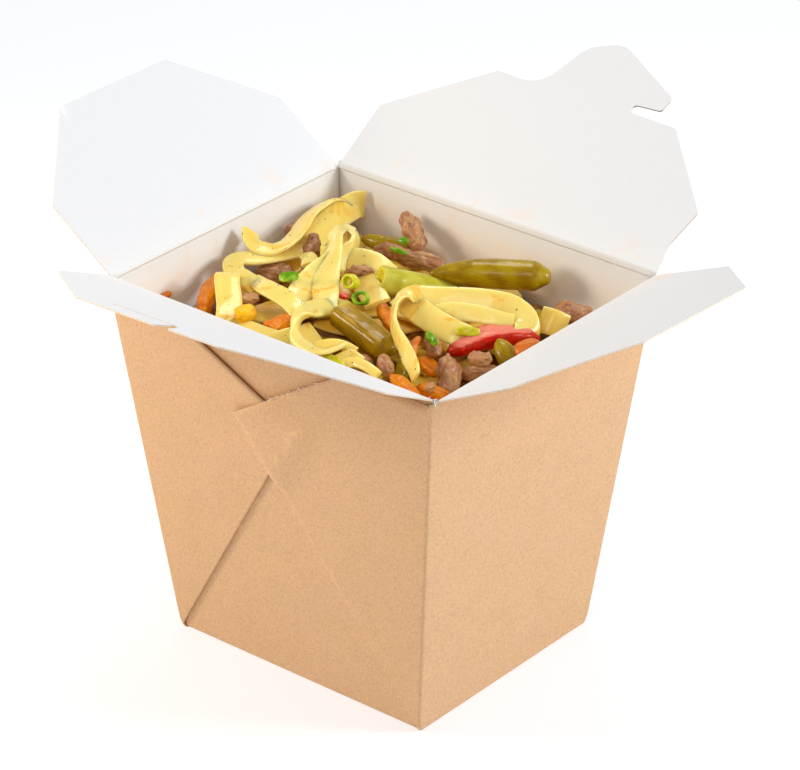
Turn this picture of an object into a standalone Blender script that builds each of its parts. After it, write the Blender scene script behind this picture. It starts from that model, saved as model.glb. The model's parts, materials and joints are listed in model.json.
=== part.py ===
"""Open folded-paperboard takeaway box, filled with flat noodles, beans, meat, carrot and red pepper.

Frame: metres, +Z up. The origin is the centre of the underside, on the table. The two folded (gusseted)
faces look along -Y and +Y, the two plain faces along -X and +X. Sizes below are written in millimetres
and turned into metres by MM. The four flaps turn on creases along the rim and are shown open.
"""

import math
from dataclasses import dataclass

import bmesh
import bpy
from mathutils import Matrix, Vector

MM = 0.001

# ---- Driving dimensions of the box, in millimetres --------------------------------------------------
HEIGHT = 103.0  # table to rim
RIM_X = 53.0  # half size of the rim, outside, along X
RIM_Y = 44.7
BASE_X = 40.8  # half size of the base, outside, along X
BASE_Y = 34.1
BOARD = 0.4  # paperboard thickness
WALL_TOP = HEIGHT - 0.85  # the walls stop here, below the creases
GUSSET_TOP = HEIGHT - 1.6

# ---- Creases and flaps ------------------------------------------------------------------------------
LOCK_CREASE_Z = HEIGHT + 0.2  # creases of the slotted and the hooked flap
DUST_CREASE_Z = HEIGHT - 0.4  # the dust flaps fold in first, so their creases are lower
CREASE_GAP = 0.45  # from a crease's axis to the board on each side
DUST_HALF = 43.9  # half width of a dust flap: it closes between the two other walls
LOCK_HALF = 52.9  # half width of the slotted and the hooked flap
DUST_REACH = 48.2  # how far the flaps reach from their creases
SLOTTED_REACH = 48.0
SLIT_WIDTH = 0.8

BACK_DUST_OPEN = 35.0  # degrees that each flap stands above the horizontal, turned outwards
FRONT_DUST_OPEN = 24.2
HOOKED_OPEN = 31.0
SLOTTED_OPEN = 25.2

# ---- Filling ----------------------------------------------------------------------------------------
FILL_GAP = 0.5  # between the filling and the board
HEAP_LEVEL = 93.0  # mean height of the noodles
HEAP_COLUMNS = 38
HEAP_ROWS = 32
TROUGH_SIDE = 1.5  # room left beside a piece that lies in the noodles
TROUGH_FLOOR = 0.7  # and below it


@dataclass
class Finish:
    """Colour, roughness and name of one kind of surface."""

    name: str
    color: tuple
    roughness: float


KRAFT = Finish("kraft_board", (0.62, 0.42, 0.26), 0.85)
WHITE_BOARD = Finish("white_board", (0.86, 0.85, 0.82), 0.7)
NOODLE = Finish("noodle", (0.90, 0.74, 0.36), 0.45)
BEAN = Finish("green_bean", (0.36, 0.35, 0.05), 0.35)
MEAT = Finish("beef", (0.40, 0.25, 0.19), 0.45)
CARROT = Finish("carrot", (0.85, 0.38, 0.05), 0.4)
PEPPER = Finish("red_pepper", (0.75, 0.07, 0.04), 0.3)


@dataclass
class Morsel:
    """A piece of vegetable or meat: a bent bar with a rounded section, in millimetres and degrees."""

    name: str
    finish: Finish
    centre: tuple
    heading: float  # direction of its length in plan, from +X towards +Y
    pitch: float  # rise along its length
    length: float
    width: float
    height: float
    bend: float = 0.0  # how far it turns in plan, end to end
    arch: float = 0.0  # rise of its middle
    start: float = 0.75  # size of its first end against the middle
    finish_end: float = 0.75  # size of its last end
    cut_start: bool = False  # a cut end is flat, any other is round
    cut_end: bool = False
    squareness: float = 2.0  # 2 is an ellipse, 4 nearly a rectangle
    lumps: float = 0.0  # depth of its unevenness against its size
    seed: float = 0.0


MORSELS = [
    Morsel("bean_long", BEAN, (11.4, 29.2, 95.8), 33, 1, 31, 8.0, 6.6, bend=-12, start=0.3, finish_end=1.0),
    Morsel(
        "bean_light", BEAN, (0.5, 20.8, 90.8), 55, -19, 32, 6.8, 6.2,
        bend=6, start=1.0, finish_end=0.5, cut_start=True,
    ),
    Morsel(
        "bean_cut", BEAN, (5.6, -13.4, 93.8), -12, -7, 21, 7.0, 5.6,
        start=1.0, finish_end=0.9, cut_start=True, squareness=2.8,
    ),
    Morsel("bean_back", BEAN, (-27.2, 34.6, 90.4), 12, 0, 16, 4.6, 4.4, start=0.6, finish_end=0.8),
    Morsel("bean_tip", BEAN, (39.4, 0.6, 93.0), -20, -32, 10, 5.4, 4.4, start=0.5, finish_end=1.0),
    Morsel("bean_dark", BEAN, (28.8, 27.6, 88.4), -50, 0, 10, 4.2, 4.0),
    Morsel("bean_under", BEAN, (-3.4, -16.6, 88.4), 30, 0, 12, 4.4, 4.2),
    Morsel("bean_shadow", BEAN, (20.2, -16.4, 88.6), -48, 0, 10, 4.0, 4.0),
    Morsel(
        "meat_upright", MEAT, (-19.8, 36.4, 95.4), -34, -22, 14, 5.8, 5.0,
        start=0.8, finish_end=0.7, lumps=0.14, seed=1.0,
    ),
    Morsel(
        "meat_back", MEAT, (-13.2, 28.4, 92.8), 16, -5, 22, 5.0, 4.4,
        start=0.9, finish_end=0.5, lumps=0.14, seed=2.2,
    ),
    Morsel("meat_left", MEAT, (-38.0, 1.6, 91.2), 35, 0, 10, 6.6, 5.2, lumps=0.16, seed=3.1),
    Morsel(
        "meat_stem", MEAT, (-35.2, 12.6, 94.2), -62, -14, 15, 3.9, 3.6,
        start=0.8, finish_end=0.6, lumps=0.12, seed=4.4,
    ),
    Morsel("meat_corner", MEAT, (-46.4, 22.0, 93.0), 60, 0, 9, 4.6, 4.6, lumps=0.12, seed=5.2),
    Morsel("meat_right", MEAT, (36.4, 32.6, 91.0), 4, 0, 12, 7.0, 5.4, lumps=0.16, seed=6.3),
    Morsel(
        "meat_point", MEAT, (34.2, -15.8, 92.4), -48, -22, 14, 6.4, 4.8,
        start=0.35, finish_end=1.0, lumps=0.12, seed=7.1,
    ),
    Morsel("meat_front", MEAT, (38.4, -8.4, 91.2), 50, 0, 10, 5.0, 4.6, lumps=0.16, seed=8.6),
    Morsel("meat_lobes", MEAT, (21.2, -25.0, 94.0), -20, -6, 6.4, 4.6, 4.4, lumps=0.14, seed=9.5),
    Morsel("meat_purple", MEAT, (11.0, -22.8, 91.4), -8, 0, 9, 4.0, 3.6, lumps=0.14, seed=10.4),
    Morsel("meat_side", MEAT, (23.0, -8.6, 94.2), -32, -6, 10, 3.6, 3.2, lumps=0.14, seed=11.7),
    Morsel(
        "carrot_crescent", CARROT, (-42.2, -18.8, 91.4), -62, -5, 20, 4.0, 4.8,
        bend=34, start=0.7, finish_end=0.7, squareness=3.0, lumps=0.04,
    ),
    Morsel(
        "carrot_centre", CARROT, (-13.6, -23.2, 93.8), 78, 6, 8, 6.0, 3.6,
        cut_start=True, cut_end=True, start=0.9, squareness=3.6, lumps=0.04,
    ),
    Morsel("carrot_stick", CARROT, (4.2, -3.8, 93.8), -36, -8, 12, 3.4, 3.2, squareness=3.6, lumps=0.04),
    Morsel(
        "carrot_front", CARROT, (31.4, -30.0, 94.0), -14, -8, 11, 3.4, 3.0,
        start=0.6, cut_end=True, squareness=3.6, lumps=0.04,
    ),
    Morsel(
        "carrot_corner", CARROT, (36.4, -25.2, 92.2), 12, -10, 8, 4.4, 3.0,
        squareness=3.6, cut_end=True, lumps=0.04,
    ),
    Morsel(
        "carrot_side", CARROT, (25.4, -12.4, 90.4), -24, -4, 9, 3.6, 3.4,
        bend=40, squareness=3.2, lumps=0.04,
    ),
    Morsel(
        "pepper_red", PEPPER, (31.4, 4.9, 92.3), 61, 0, 25, 6.6, 3.0,
        bend=-16, arch=1.4, start=0.6, finish_end=0.8, squareness=2.8, lumps=0.05,
    ),
]


def clear_scene():
    """Remove everything that a new file starts with."""
    for obj in list(bpy.data.objects):
        bpy.data.objects.remove(obj, do_unlink=True)


def material_for(finish):
    """Return the finish's Principled material, made once."""
    found = bpy.data.materials.get(finish.name)
    if found:
        return found
    material = bpy.data.materials.new(finish.name)
    material.use_nodes = True
    shader = material.node_tree.nodes["Principled BSDF"]
    shader.inputs["Base Color"].default_value = (*finish.color, 1.0)
    shader.inputs["Roughness"].default_value = finish.roughness
    return material


def mesh_object(name, mesh_builder, finish):
    """Turn a bmesh into a named object with its material."""
    bmesh.ops.recalc_face_normals(mesh_builder, faces=mesh_builder.faces)
    mesh = bpy.data.meshes.new(name)
    mesh_builder.to_mesh(mesh)
    mesh_builder.free()
    mesh.materials.append(material_for(finish))
    obj = bpy.data.objects.new(name, mesh)
    bpy.context.scene.collection.objects.link(obj)
    return obj


def wall_half(z, inset=0.0):
    """Half sizes of the box at height z, measured outside and drawn in by inset."""
    rise = z / HEIGHT
    return BASE_X + (RIM_X - BASE_X) * rise - inset, BASE_Y + (RIM_Y - BASE_Y) * rise - inset


def rectangle(builder, z, inset=0.0):
    """Add the four corner vertices of the box at height z."""
    half_x, half_y = wall_half(z, inset)
    signs = ((-1, -1), (1, -1), (1, 1), (-1, 1))
    return [builder.verts.new((sx * half_x * MM, sy * half_y * MM, z * MM)) for sx, sy in signs]


def bridge(builder, lower, upper):
    """Join two loops of equal length with quads."""
    count = len(lower)
    for i in range(count):
        j = (i + 1) % count
        builder.faces.new((lower[i], lower[j], upper[j], upper[i]))


def prism(builder, outline, place, low, high):
    """Extrude a flat outline of (s, w) points from low to high along the third direction of place."""
    loops = [[builder.verts.new(place(s, w, n)) for s, w in outline] for n in (low, high)]
    bridge(builder, loops[0], loops[1])
    builder.faces.new(list(reversed(loops[0])))
    builder.faces.new(loops[1])


def folded_face(side):
    """Return a function that places (s, w, n) on the outside of the +Y or -Y wall.

    s runs along X, w up the slope from the base, n out of the wall.
    """
    slope = math.hypot(RIM_Y - BASE_Y, HEIGHT)
    up = Vector((0.0, side * (RIM_Y - BASE_Y) / slope, HEIGHT / slope))
    out = Vector((0.0, side * HEIGHT / slope, -(RIM_Y - BASE_Y) / slope))

    def place(s, w, n):
        foot = Vector((s, side * BASE_Y, 0.0))
        return (foot + up * w + out * n) * MM

    return place


def gusset_outline(mirror, tip, rim_start):
    """Outline of one gusset: bottom corner, folded tip, cut edge up to the rim, and the box's corner."""
    slope = math.hypot(RIM_Y - BASE_Y, HEIGHT)
    side_inset = 0.1
    foot = 0.4
    top = GUSSET_TOP * slope / HEIGHT
    side_run = (RIM_X - BASE_X) / slope
    return [
        (mirror * (BASE_X - side_inset + side_run * foot), foot),
        (mirror * (RIM_X - side_inset - side_run * (slope - top)), top),
        (mirror * rim_start, top),
        (mirror * tip[0], tip[1]),
    ]


def make_carton():
    """The folded box: floor, four sloping walls, and on each folded face two gussets, one over the other."""
    builder = bmesh.new()
    outer_foot = rectangle(builder, 0.0)
    outer_top = rectangle(builder, WALL_TOP)
    inner_top = rectangle(builder, WALL_TOP, BOARD)
    inner_foot = rectangle(builder, BOARD, BOARD)
    for lower, upper in ((outer_foot, outer_top), (outer_top, inner_top), (inner_top, inner_foot)):
        bridge(builder, lower, upper)
    builder.faces.new(list(reversed(outer_foot)))
    builder.faces.new(inner_foot)
    carton = mesh_object("carton", builder, KRAFT)

    double_board = 2 * BOARD
    layers = (
        # side along X, thickness, depth into the wall, folded tip, where the cut edge meets the top
        (-1, double_board, 0.20, (-7.5, 79.6), 34.9),
        (1, 2 * double_board, 0.15, (-11.7, 78.6), 25.5),
    )
    for side in (-1, 1):
        for mirror, thickness, depth, tip, rim_start in layers:
            builder = bmesh.new()
            prism(builder, gusset_outline(mirror, tip, rim_start), folded_face(side), -depth, thickness)
            gusset = mesh_object("gusset_tool", builder, KRAFT)
            gusset.hide_render = True
            gusset.display_type = "WIRE"
            union = carton.modifiers.new("gusset", "BOOLEAN")
            union.operation = "UNION"
            union.object = gusset
    return carton


def rounded_outline(corners, steps=5):
    """Points of a closed outline whose corners (s, v, radius) are rounded by arcs."""
    points = []
    count = len(corners)
    for i, (s, v, radius) in enumerate(corners):
        here = Vector((s, v))
        if radius <= 0:
            points.append(here)
            continue
        before = Vector(corners[i - 1][:2]) - here
        after = Vector(corners[(i + 1) % count][:2]) - here
        turn = before.angle(after)
        reach = min(radius / math.tan(turn / 2), 0.48 * before.length, 0.48 * after.length)
        first = here + before.normalized() * reach
        last = here + after.normalized() * reach
        for k in range(steps + 1):
            t = k / steps
            points.append(first * (1 - t) ** 2 + here * 2 * t * (1 - t) + last * t**2)
    return points


def dust_outline():
    """A plain flap with two long cut corners."""
    shoulder = 24.4
    outer_half = 20.0
    return [
        (-DUST_HALF, CREASE_GAP, 0),
        (-DUST_HALF, shoulder, 1.0),
        (-outer_half, DUST_REACH, 1.5),
        (outer_half, DUST_REACH, 1.5),
        (DUST_HALF, shoulder, 1.0),
        (DUST_HALF, CREASE_GAP, 0),
    ]


def slotted_outline():
    """The cut-cornered flap with a slit along its outer edge, open at one end, which takes the hook."""
    slit_v = 38.8
    slit_start = -17.6
    tongue_end = 2.8
    mouth = 6.4
    return [
        (-LOCK_HALF, CREASE_GAP, 0),
        (-LOCK_HALF, 20.5, 1.5),
        (-22.5, SLOTTED_REACH, 2.0),
        (tongue_end, SLOTTED_REACH, 0.6),
        (tongue_end - 0.8, slit_v + SLIT_WIDTH, 0.8),
        (slit_start, slit_v + SLIT_WIDTH, 0),
        (slit_start, slit_v, 0),
        (tongue_end + 0.8, slit_v, 1.6),
        (mouth, SLOTTED_REACH - 0.8, 1.2),
        (22.0, SLOTTED_REACH - 1.4, 2.0),
        (LOCK_HALF, 20.5, 1.5),
        (LOCK_HALF, CREASE_GAP, 0),
    ]


def hooked_outline():
    """The flap with the hook: a rounded tab in the middle of its outer edge with a notch behind it."""
    shoulder = 20.3
    return [
        (-LOCK_HALF + 1.0, CREASE_GAP, 0),
        (-LOCK_HALF + 0.3, shoulder + 0.3, 1.0),
        (-26.4, 42.0, 1.5),
        (-12.5, 41.2, 9.0),
        (-6.6, 57.2, 7.0),
        (2.6, 61.6, 7.0),
        (25.8, 50.0, 1.5),
        (25.2, 45.2, 1.0),
        (17.0, 44.6, 1.2),
        (17.2, 42.0, 1.2),
        (32.2, 41.6, 2.0),
        (LOCK_HALF, shoulder, 1.5),
        (51.2, 9.0, 8.0),
        (LOCK_HALF, CREASE_GAP, 0),
    ]


def make_flap(name, along, outward, crease_offset, crease_z, open_angle, outline):
    """Make one flap whose origin is the middle of its crease.

    Its local X runs along the crease, local Y from the crease to the outer edge.
    """
    builder = bmesh.new()
    prism(builder, rounded_outline(outline), lambda s, v, n: Vector((s, v, n)) * MM, -BOARD / 2, BOARD / 2)
    flap = mesh_object(name, builder, WHITE_BOARD)
    tilt = math.radians(open_angle)
    along = Vector(along)
    away = Vector(outward) * math.cos(tilt) + Vector((0, 0, math.sin(tilt)))
    turn = Matrix((along, away, along.cross(away))).transposed()
    flap.location = (Vector(outward) * crease_offset + Vector((0, 0, crease_z))) * MM
    flap.rotation_euler = turn.to_euler()
    return flap


def make_flaps():
    """The four flaps, open."""
    dust = dust_outline()
    crease_x = RIM_X - BOARD / 2
    crease_y = RIM_Y - BOARD / 2
    make_flap("dust_flap_back", (0, 1, 0), (-1, 0, 0), crease_x, DUST_CREASE_Z, BACK_DUST_OPEN, dust)
    make_flap("dust_flap_front", (0, 1, 0), (1, 0, 0), crease_x, DUST_CREASE_Z, FRONT_DUST_OPEN, dust)
    make_flap("slotted_flap", (1, 0, 0), (0, -1, 0), crease_y, LOCK_CREASE_Z, SLOTTED_OPEN, slotted_outline())
    make_flap("hooked_flap", (1, 0, 0), (0, 1, 0), crease_y, LOCK_CREASE_Z, HOOKED_OPEN, hooked_outline())


def morsel_route(morsel, stations=9):
    """Centre line of a piece: points and unit tangents, in millimetres."""
    step = morsel.length / (stations - 1)
    pitch = math.radians(morsel.pitch)
    points = [Vector((0, 0, 0))]
    headings = []
    for i in range(stations):
        t = i / (stations - 1)
        headings.append(math.radians(morsel.heading + morsel.bend * (t - 0.5)))
    for i in range(stations - 1):
        course = 0.5 * (headings[i] + headings[i + 1])
        level = math.cos(pitch) * step
        stride = Vector((math.cos(course) * level, math.sin(course) * level, math.sin(pitch) * step))
        points.append(points[-1] + stride)
    middle = sum(points, Vector((0, 0, 0))) / stations
    centre = Vector(morsel.centre)
    placed = []
    for i, point in enumerate(points):
        t = i / (stations - 1)
        placed.append(point - middle + centre + Vector((0, 0, morsel.arch * (1 - (2 * t - 1) ** 2))))
    tangents = []
    for i in range(stations):
        ahead = placed[min(i + 1, stations - 1)] - placed[max(i - 1, 0)]
        tangents.append(ahead.normalized())
    return placed, tangents


def end_size(morsel, t):
    """Size of the section at t, from 0 to 1 along the piece."""
    if t < 0.5:
        size = morsel.start + (1 - morsel.start) * math.sin(math.pi * t)
    else:
        size = morsel.finish_end + (1 - morsel.finish_end) * math.sin(math.pi * t)
    cap = min(0.45, 0.5 * morsel.width / morsel.length)
    if not morsel.cut_start and t < cap:
        size *= math.sqrt(max(0.0, 1 - (1 - t / cap) ** 2))
    if not morsel.cut_end and t > 1 - cap:
        size *= math.sqrt(max(0.0, 1 - (1 - (1 - t) / cap) ** 2))
    return size


def unevenness(morsel, t, angle):
    """Lumps and hollows as a factor on the section's radius."""
    seed = morsel.seed
    wave = math.sin(2 * angle + 5 * t + seed) + 0.7 * math.sin(3 * angle - 9 * t + 2 * seed)
    wave += 0.6 * math.sin(13 * t + 1.7 * seed + angle)
    return 1 + morsel.lumps * wave / 1.6


def make_morsel(morsel, sides=12):
    """Skin a piece along its centre line and close its two ends."""
    stations = 9
    points, tangents = morsel_route(morsel, stations)
    builder = bmesh.new()
    rings = []
    for i, (point, tangent) in enumerate(zip(points, tangents)):
        t = i / (stations - 1)
        # A round end closes on a point, so its ring is a small one just inside the end.
        at = min(max(t, 0.012), 0.988)
        size = max(end_size(morsel, at), 0.12)
        across = Vector((0, 0, 1)).cross(tangent).normalized()
        upward = tangent.cross(across)
        ring = []
        for k in range(sides):
            angle = 2 * math.pi * k / sides
            c, s = math.cos(angle), math.sin(angle)
            power = 2 / morsel.squareness
            offset = across * (math.copysign(abs(c) ** power, c) * morsel.width / 2)
            offset += upward * (math.copysign(abs(s) ** power, s) * morsel.height / 2)
            ring.append(builder.verts.new((point + offset * size * unevenness(morsel, t, angle)) * MM))
        rings.append(ring)
    for lower, upper in zip(rings, rings[1:]):
        bridge(builder, lower, upper)
    builder.faces.new(list(reversed(rings[0])))
    builder.faces.new(rings[-1])
    body = mesh_object(morsel.name, builder, morsel.finish)
    body.data.shade_smooth()
    return body


def noodle_surface(x, y):
    """Height of the loose noodles at (x, y), before pieces are pressed into them."""
    u, v = x / RIM_X, y / RIM_Y
    level = HEAP_LEVEL + 3.0 * (1 - u * u) * (1 - v * v)
    level -= 3.0 * max(0.0, u) * max(0.0, v)  # lowest in the far right corner
    level -= 1.2 * max(0.0, -u) * max(0.0, -v)
    ridges = math.sin(0.42 * x + 0.9 * math.sin(0.16 * y))
    ridges += math.sin(0.37 * y - 0.8 * math.sin(0.19 * x) + 1.0)
    return level + 0.9 * ridges + 0.5 * math.sin(0.8 * x + 0.7 * y)


def make_noodle_heap():
    """The heap of noodles: one solid from the floor up to an uneven top with a trough under each piece."""
    routes = []
    for morsel in MORSELS:
        points, _ = morsel_route(morsel, 17)
        lumpy = 0.5 + 0.65 * morsel.lumps
        beside = morsel.width * lumpy + TROUGH_SIDE
        below = morsel.height * lumpy + TROUGH_FLOOR
        routes.append((points, beside, below))

    def top(x, y):
        level = noodle_surface(x, y)
        for points, beside, below in routes:
            for point in points:
                reach = math.hypot(point.x - x, point.y - y)
                if reach < beside + 1.6:
                    level = min(level, point.z - below)
        return level

    def wall_inset(z):
        half_x, half_y = wall_half(z, BOARD + FILL_GAP)
        return half_x, half_y

    builder = bmesh.new()
    grid = []
    for j in range(HEAP_ROWS + 1):
        v = 2 * j / HEAP_ROWS - 1
        row = []
        for i in range(HEAP_COLUMNS + 1):
            u = 2 * i / HEAP_COLUMNS - 1
            half_x, half_y = wall_inset(HEAP_LEVEL)
            z = top(u * half_x, v * half_y)
            half_x, half_y = wall_inset(z)
            row.append(builder.verts.new((u * half_x * MM, v * half_y * MM, z * MM)))
        grid.append(row)
    for j in range(HEAP_ROWS):
        for i in range(HEAP_COLUMNS):
            a, b, c, d = grid[j][i], grid[j][i + 1], grid[j + 1][i + 1], grid[j + 1][i]
            builder.faces.new((a, b, c))
            builder.faces.new((a, c, d))
    floor = BOARD + FILL_GAP
    low = rectangle(builder, floor, BOARD + FILL_GAP)
    edges = (
        grid[0],
        [row[-1] for row in grid],
        list(reversed(grid[-1])),
        [row[0] for row in reversed(grid)],
    )
    for k, edge in enumerate(edges):
        builder.faces.new([low[k], low[(k + 1) % 4]] + list(reversed(edge)))
    builder.faces.new(list(reversed(low)))
    return mesh_object("noodle_heap", builder, NOODLE)


def main():
    clear_scene()
    make_carton()
    make_flaps()
    make_noodle_heap()
    for morsel in MORSELS:
        make_morsel(morsel)


main()
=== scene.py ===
"""Looks of an open folded-paperboard takeaway box of flat noodles, beans, beef, carrot and red pepper.

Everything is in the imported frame: metres, +Z up, with the origin at the centre of the underside. Sizes
and places below are in millimetres and are turned into metres by MM. The folded faces look along -Y and
+Y, the plain ones along -X and +X. Each flap rides on its own body, and a strip of board bends along
each crease.
"""

from __future__ import annotations

import json
import logging
import math
from collections.abc import Callable, Iterable, Sequence
from dataclasses import dataclass, field
from enum import Enum, IntEnum

import bmesh
import bpy
import numpy as np
from mathutils import Matrix, Vector, noise

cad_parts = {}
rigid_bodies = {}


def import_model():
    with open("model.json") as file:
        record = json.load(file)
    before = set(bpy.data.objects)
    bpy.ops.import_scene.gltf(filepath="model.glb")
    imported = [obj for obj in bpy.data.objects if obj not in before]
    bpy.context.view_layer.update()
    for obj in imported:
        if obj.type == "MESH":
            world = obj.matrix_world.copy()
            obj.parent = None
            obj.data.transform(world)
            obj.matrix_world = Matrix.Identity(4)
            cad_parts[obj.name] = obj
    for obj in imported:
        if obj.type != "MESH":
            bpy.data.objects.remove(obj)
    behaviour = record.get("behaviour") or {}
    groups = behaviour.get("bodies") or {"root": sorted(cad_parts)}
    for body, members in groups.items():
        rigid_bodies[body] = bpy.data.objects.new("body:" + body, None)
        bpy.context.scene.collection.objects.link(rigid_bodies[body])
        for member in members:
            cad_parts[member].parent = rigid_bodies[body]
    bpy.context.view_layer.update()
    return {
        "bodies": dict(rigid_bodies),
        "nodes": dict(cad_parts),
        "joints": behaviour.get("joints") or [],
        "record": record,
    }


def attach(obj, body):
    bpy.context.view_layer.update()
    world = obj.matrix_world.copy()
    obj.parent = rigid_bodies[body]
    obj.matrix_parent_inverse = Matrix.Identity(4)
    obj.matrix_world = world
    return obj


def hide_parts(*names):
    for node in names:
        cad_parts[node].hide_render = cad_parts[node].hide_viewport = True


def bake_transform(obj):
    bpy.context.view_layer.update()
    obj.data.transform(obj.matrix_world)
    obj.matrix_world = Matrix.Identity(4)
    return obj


LOG = logging.getLogger("noodle_box")
MM = 0.001
Value = float | Sequence[float] | bpy.types.NodeSocket


# ---- Small tools -------------------------------------------------------------------------------------


def srgb(red: int, green: int, blue: int) -> tuple[float, float, float]:
    """Linear colour of display values from 0 to 255."""

    def linear(value: int) -> float:
        share = value / 255
        return share / 12.92 if share <= 0.04045 else ((share + 0.055) / 1.055) ** 2.4

    return linear(red), linear(green), linear(blue)


def blend_in(value: float, low: float, high: float) -> float:
    """Smooth step of a value: 0 up to low, 1 from high on."""
    share = min(max((value - low) / (high - low), 0.0), 1.0)
    return share * share * (3 - 2 * share)


def between(first: float, last: float, share: float) -> float:
    """The value at a share of the way from first to last."""
    return first + (last - first) * share


def facing(azimuth: float, elevation: float) -> Vector:
    """Unit vector from its direction in plan (0 is +X, 90 is +Y) and its height, in degrees."""
    around, up = math.radians(azimuth), math.radians(elevation)
    return Vector((math.cos(around) * math.cos(up), math.sin(around) * math.cos(up), math.sin(up)))


def spread(first: float, last: float, count: int) -> list[float]:
    """Evenly spaced values from first to last, both included."""
    return [between(first, last, i / (count - 1)) for i in range(count)]


def new_object(name: str, mesh: bpy.types.Mesh, *materials: bpy.types.Material) -> bpy.types.Object:
    """Put a mesh in the scene under a name, with its materials in slot order."""
    for material in materials:
        mesh.materials.append(material)
    obj = bpy.data.objects.new(name, mesh)
    bpy.context.scene.collection.objects.link(obj)
    return obj


def sheet_mesh(
    name: str, rows: Sequence[Sequence[Vector]], wanted: Callable[[int, int], bool] | None = None
) -> bpy.types.Mesh:
    """Quads over a grid of points.

    Args:
        name: Name of the mesh.
        rows: Rows of equal length, in millimetres.
        wanted: Says by row and column whether the quad that starts there is made.

    Returns:
        The mesh, in metres, smooth shaded.
    """
    builder = bmesh.new()
    grid = [[builder.verts.new(point * MM) for point in row] for row in rows]
    for i, (lower, upper) in enumerate(zip(grid, grid[1:])):
        for j in range(len(lower) - 1):
            if wanted is None or wanted(i, j):
                builder.faces.new((lower[j], lower[j + 1], upper[j + 1], upper[j]))
    loose = [vert for vert in builder.verts if not vert.link_faces]
    bmesh.ops.delete(builder, geom=loose, context="VERTS")
    bmesh.ops.remove_doubles(builder, verts=builder.verts, dist=0.01 * MM)
    mesh = bpy.data.meshes.new(name)
    builder.to_mesh(mesh)
    builder.free()
    mesh.shade_smooth()
    return mesh


def settle(obj: bpy.types.Object) -> bpy.types.Object:
    """Apply every modifier, so that the piece is a plain mesh."""
    graph = bpy.context.evaluated_depsgraph_get()
    graph.update()
    mesh = bpy.data.meshes.new_from_object(
        obj.evaluated_get(graph), preserve_all_data_layers=True, depsgraph=graph
    )
    obj.modifiers.clear()
    obj.data = mesh
    return obj


def thicken(obj: bpy.types.Object, board: float) -> bpy.types.Object:
    """Give a sheet its board: slot 0 outside, slot 1 inside, slot 2 along the cut edges."""
    solid = obj.modifiers.new("board", "SOLIDIFY")
    solid.thickness = board * MM
    solid.offset = -1.0
    solid.use_even_offset = True
    solid.material_offset = 1
    solid.material_offset_rim = 2
    return settle(obj)


def join(name: str, pieces: Sequence[bpy.types.Object]) -> bpy.types.Object:
    """Join finished pieces with the same material slots into one object."""
    builder = bmesh.new()
    for piece in pieces:
        builder.from_mesh(piece.data)
    mesh = bpy.data.meshes.new(name)
    builder.to_mesh(mesh)
    builder.free()
    joined = new_object(name, mesh, *pieces[0].data.materials)
    for piece in pieces:
        bpy.data.objects.remove(piece, do_unlink=True)
    return joined


# ---- Finishes ----------------------------------------------------------------------------------------


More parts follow.
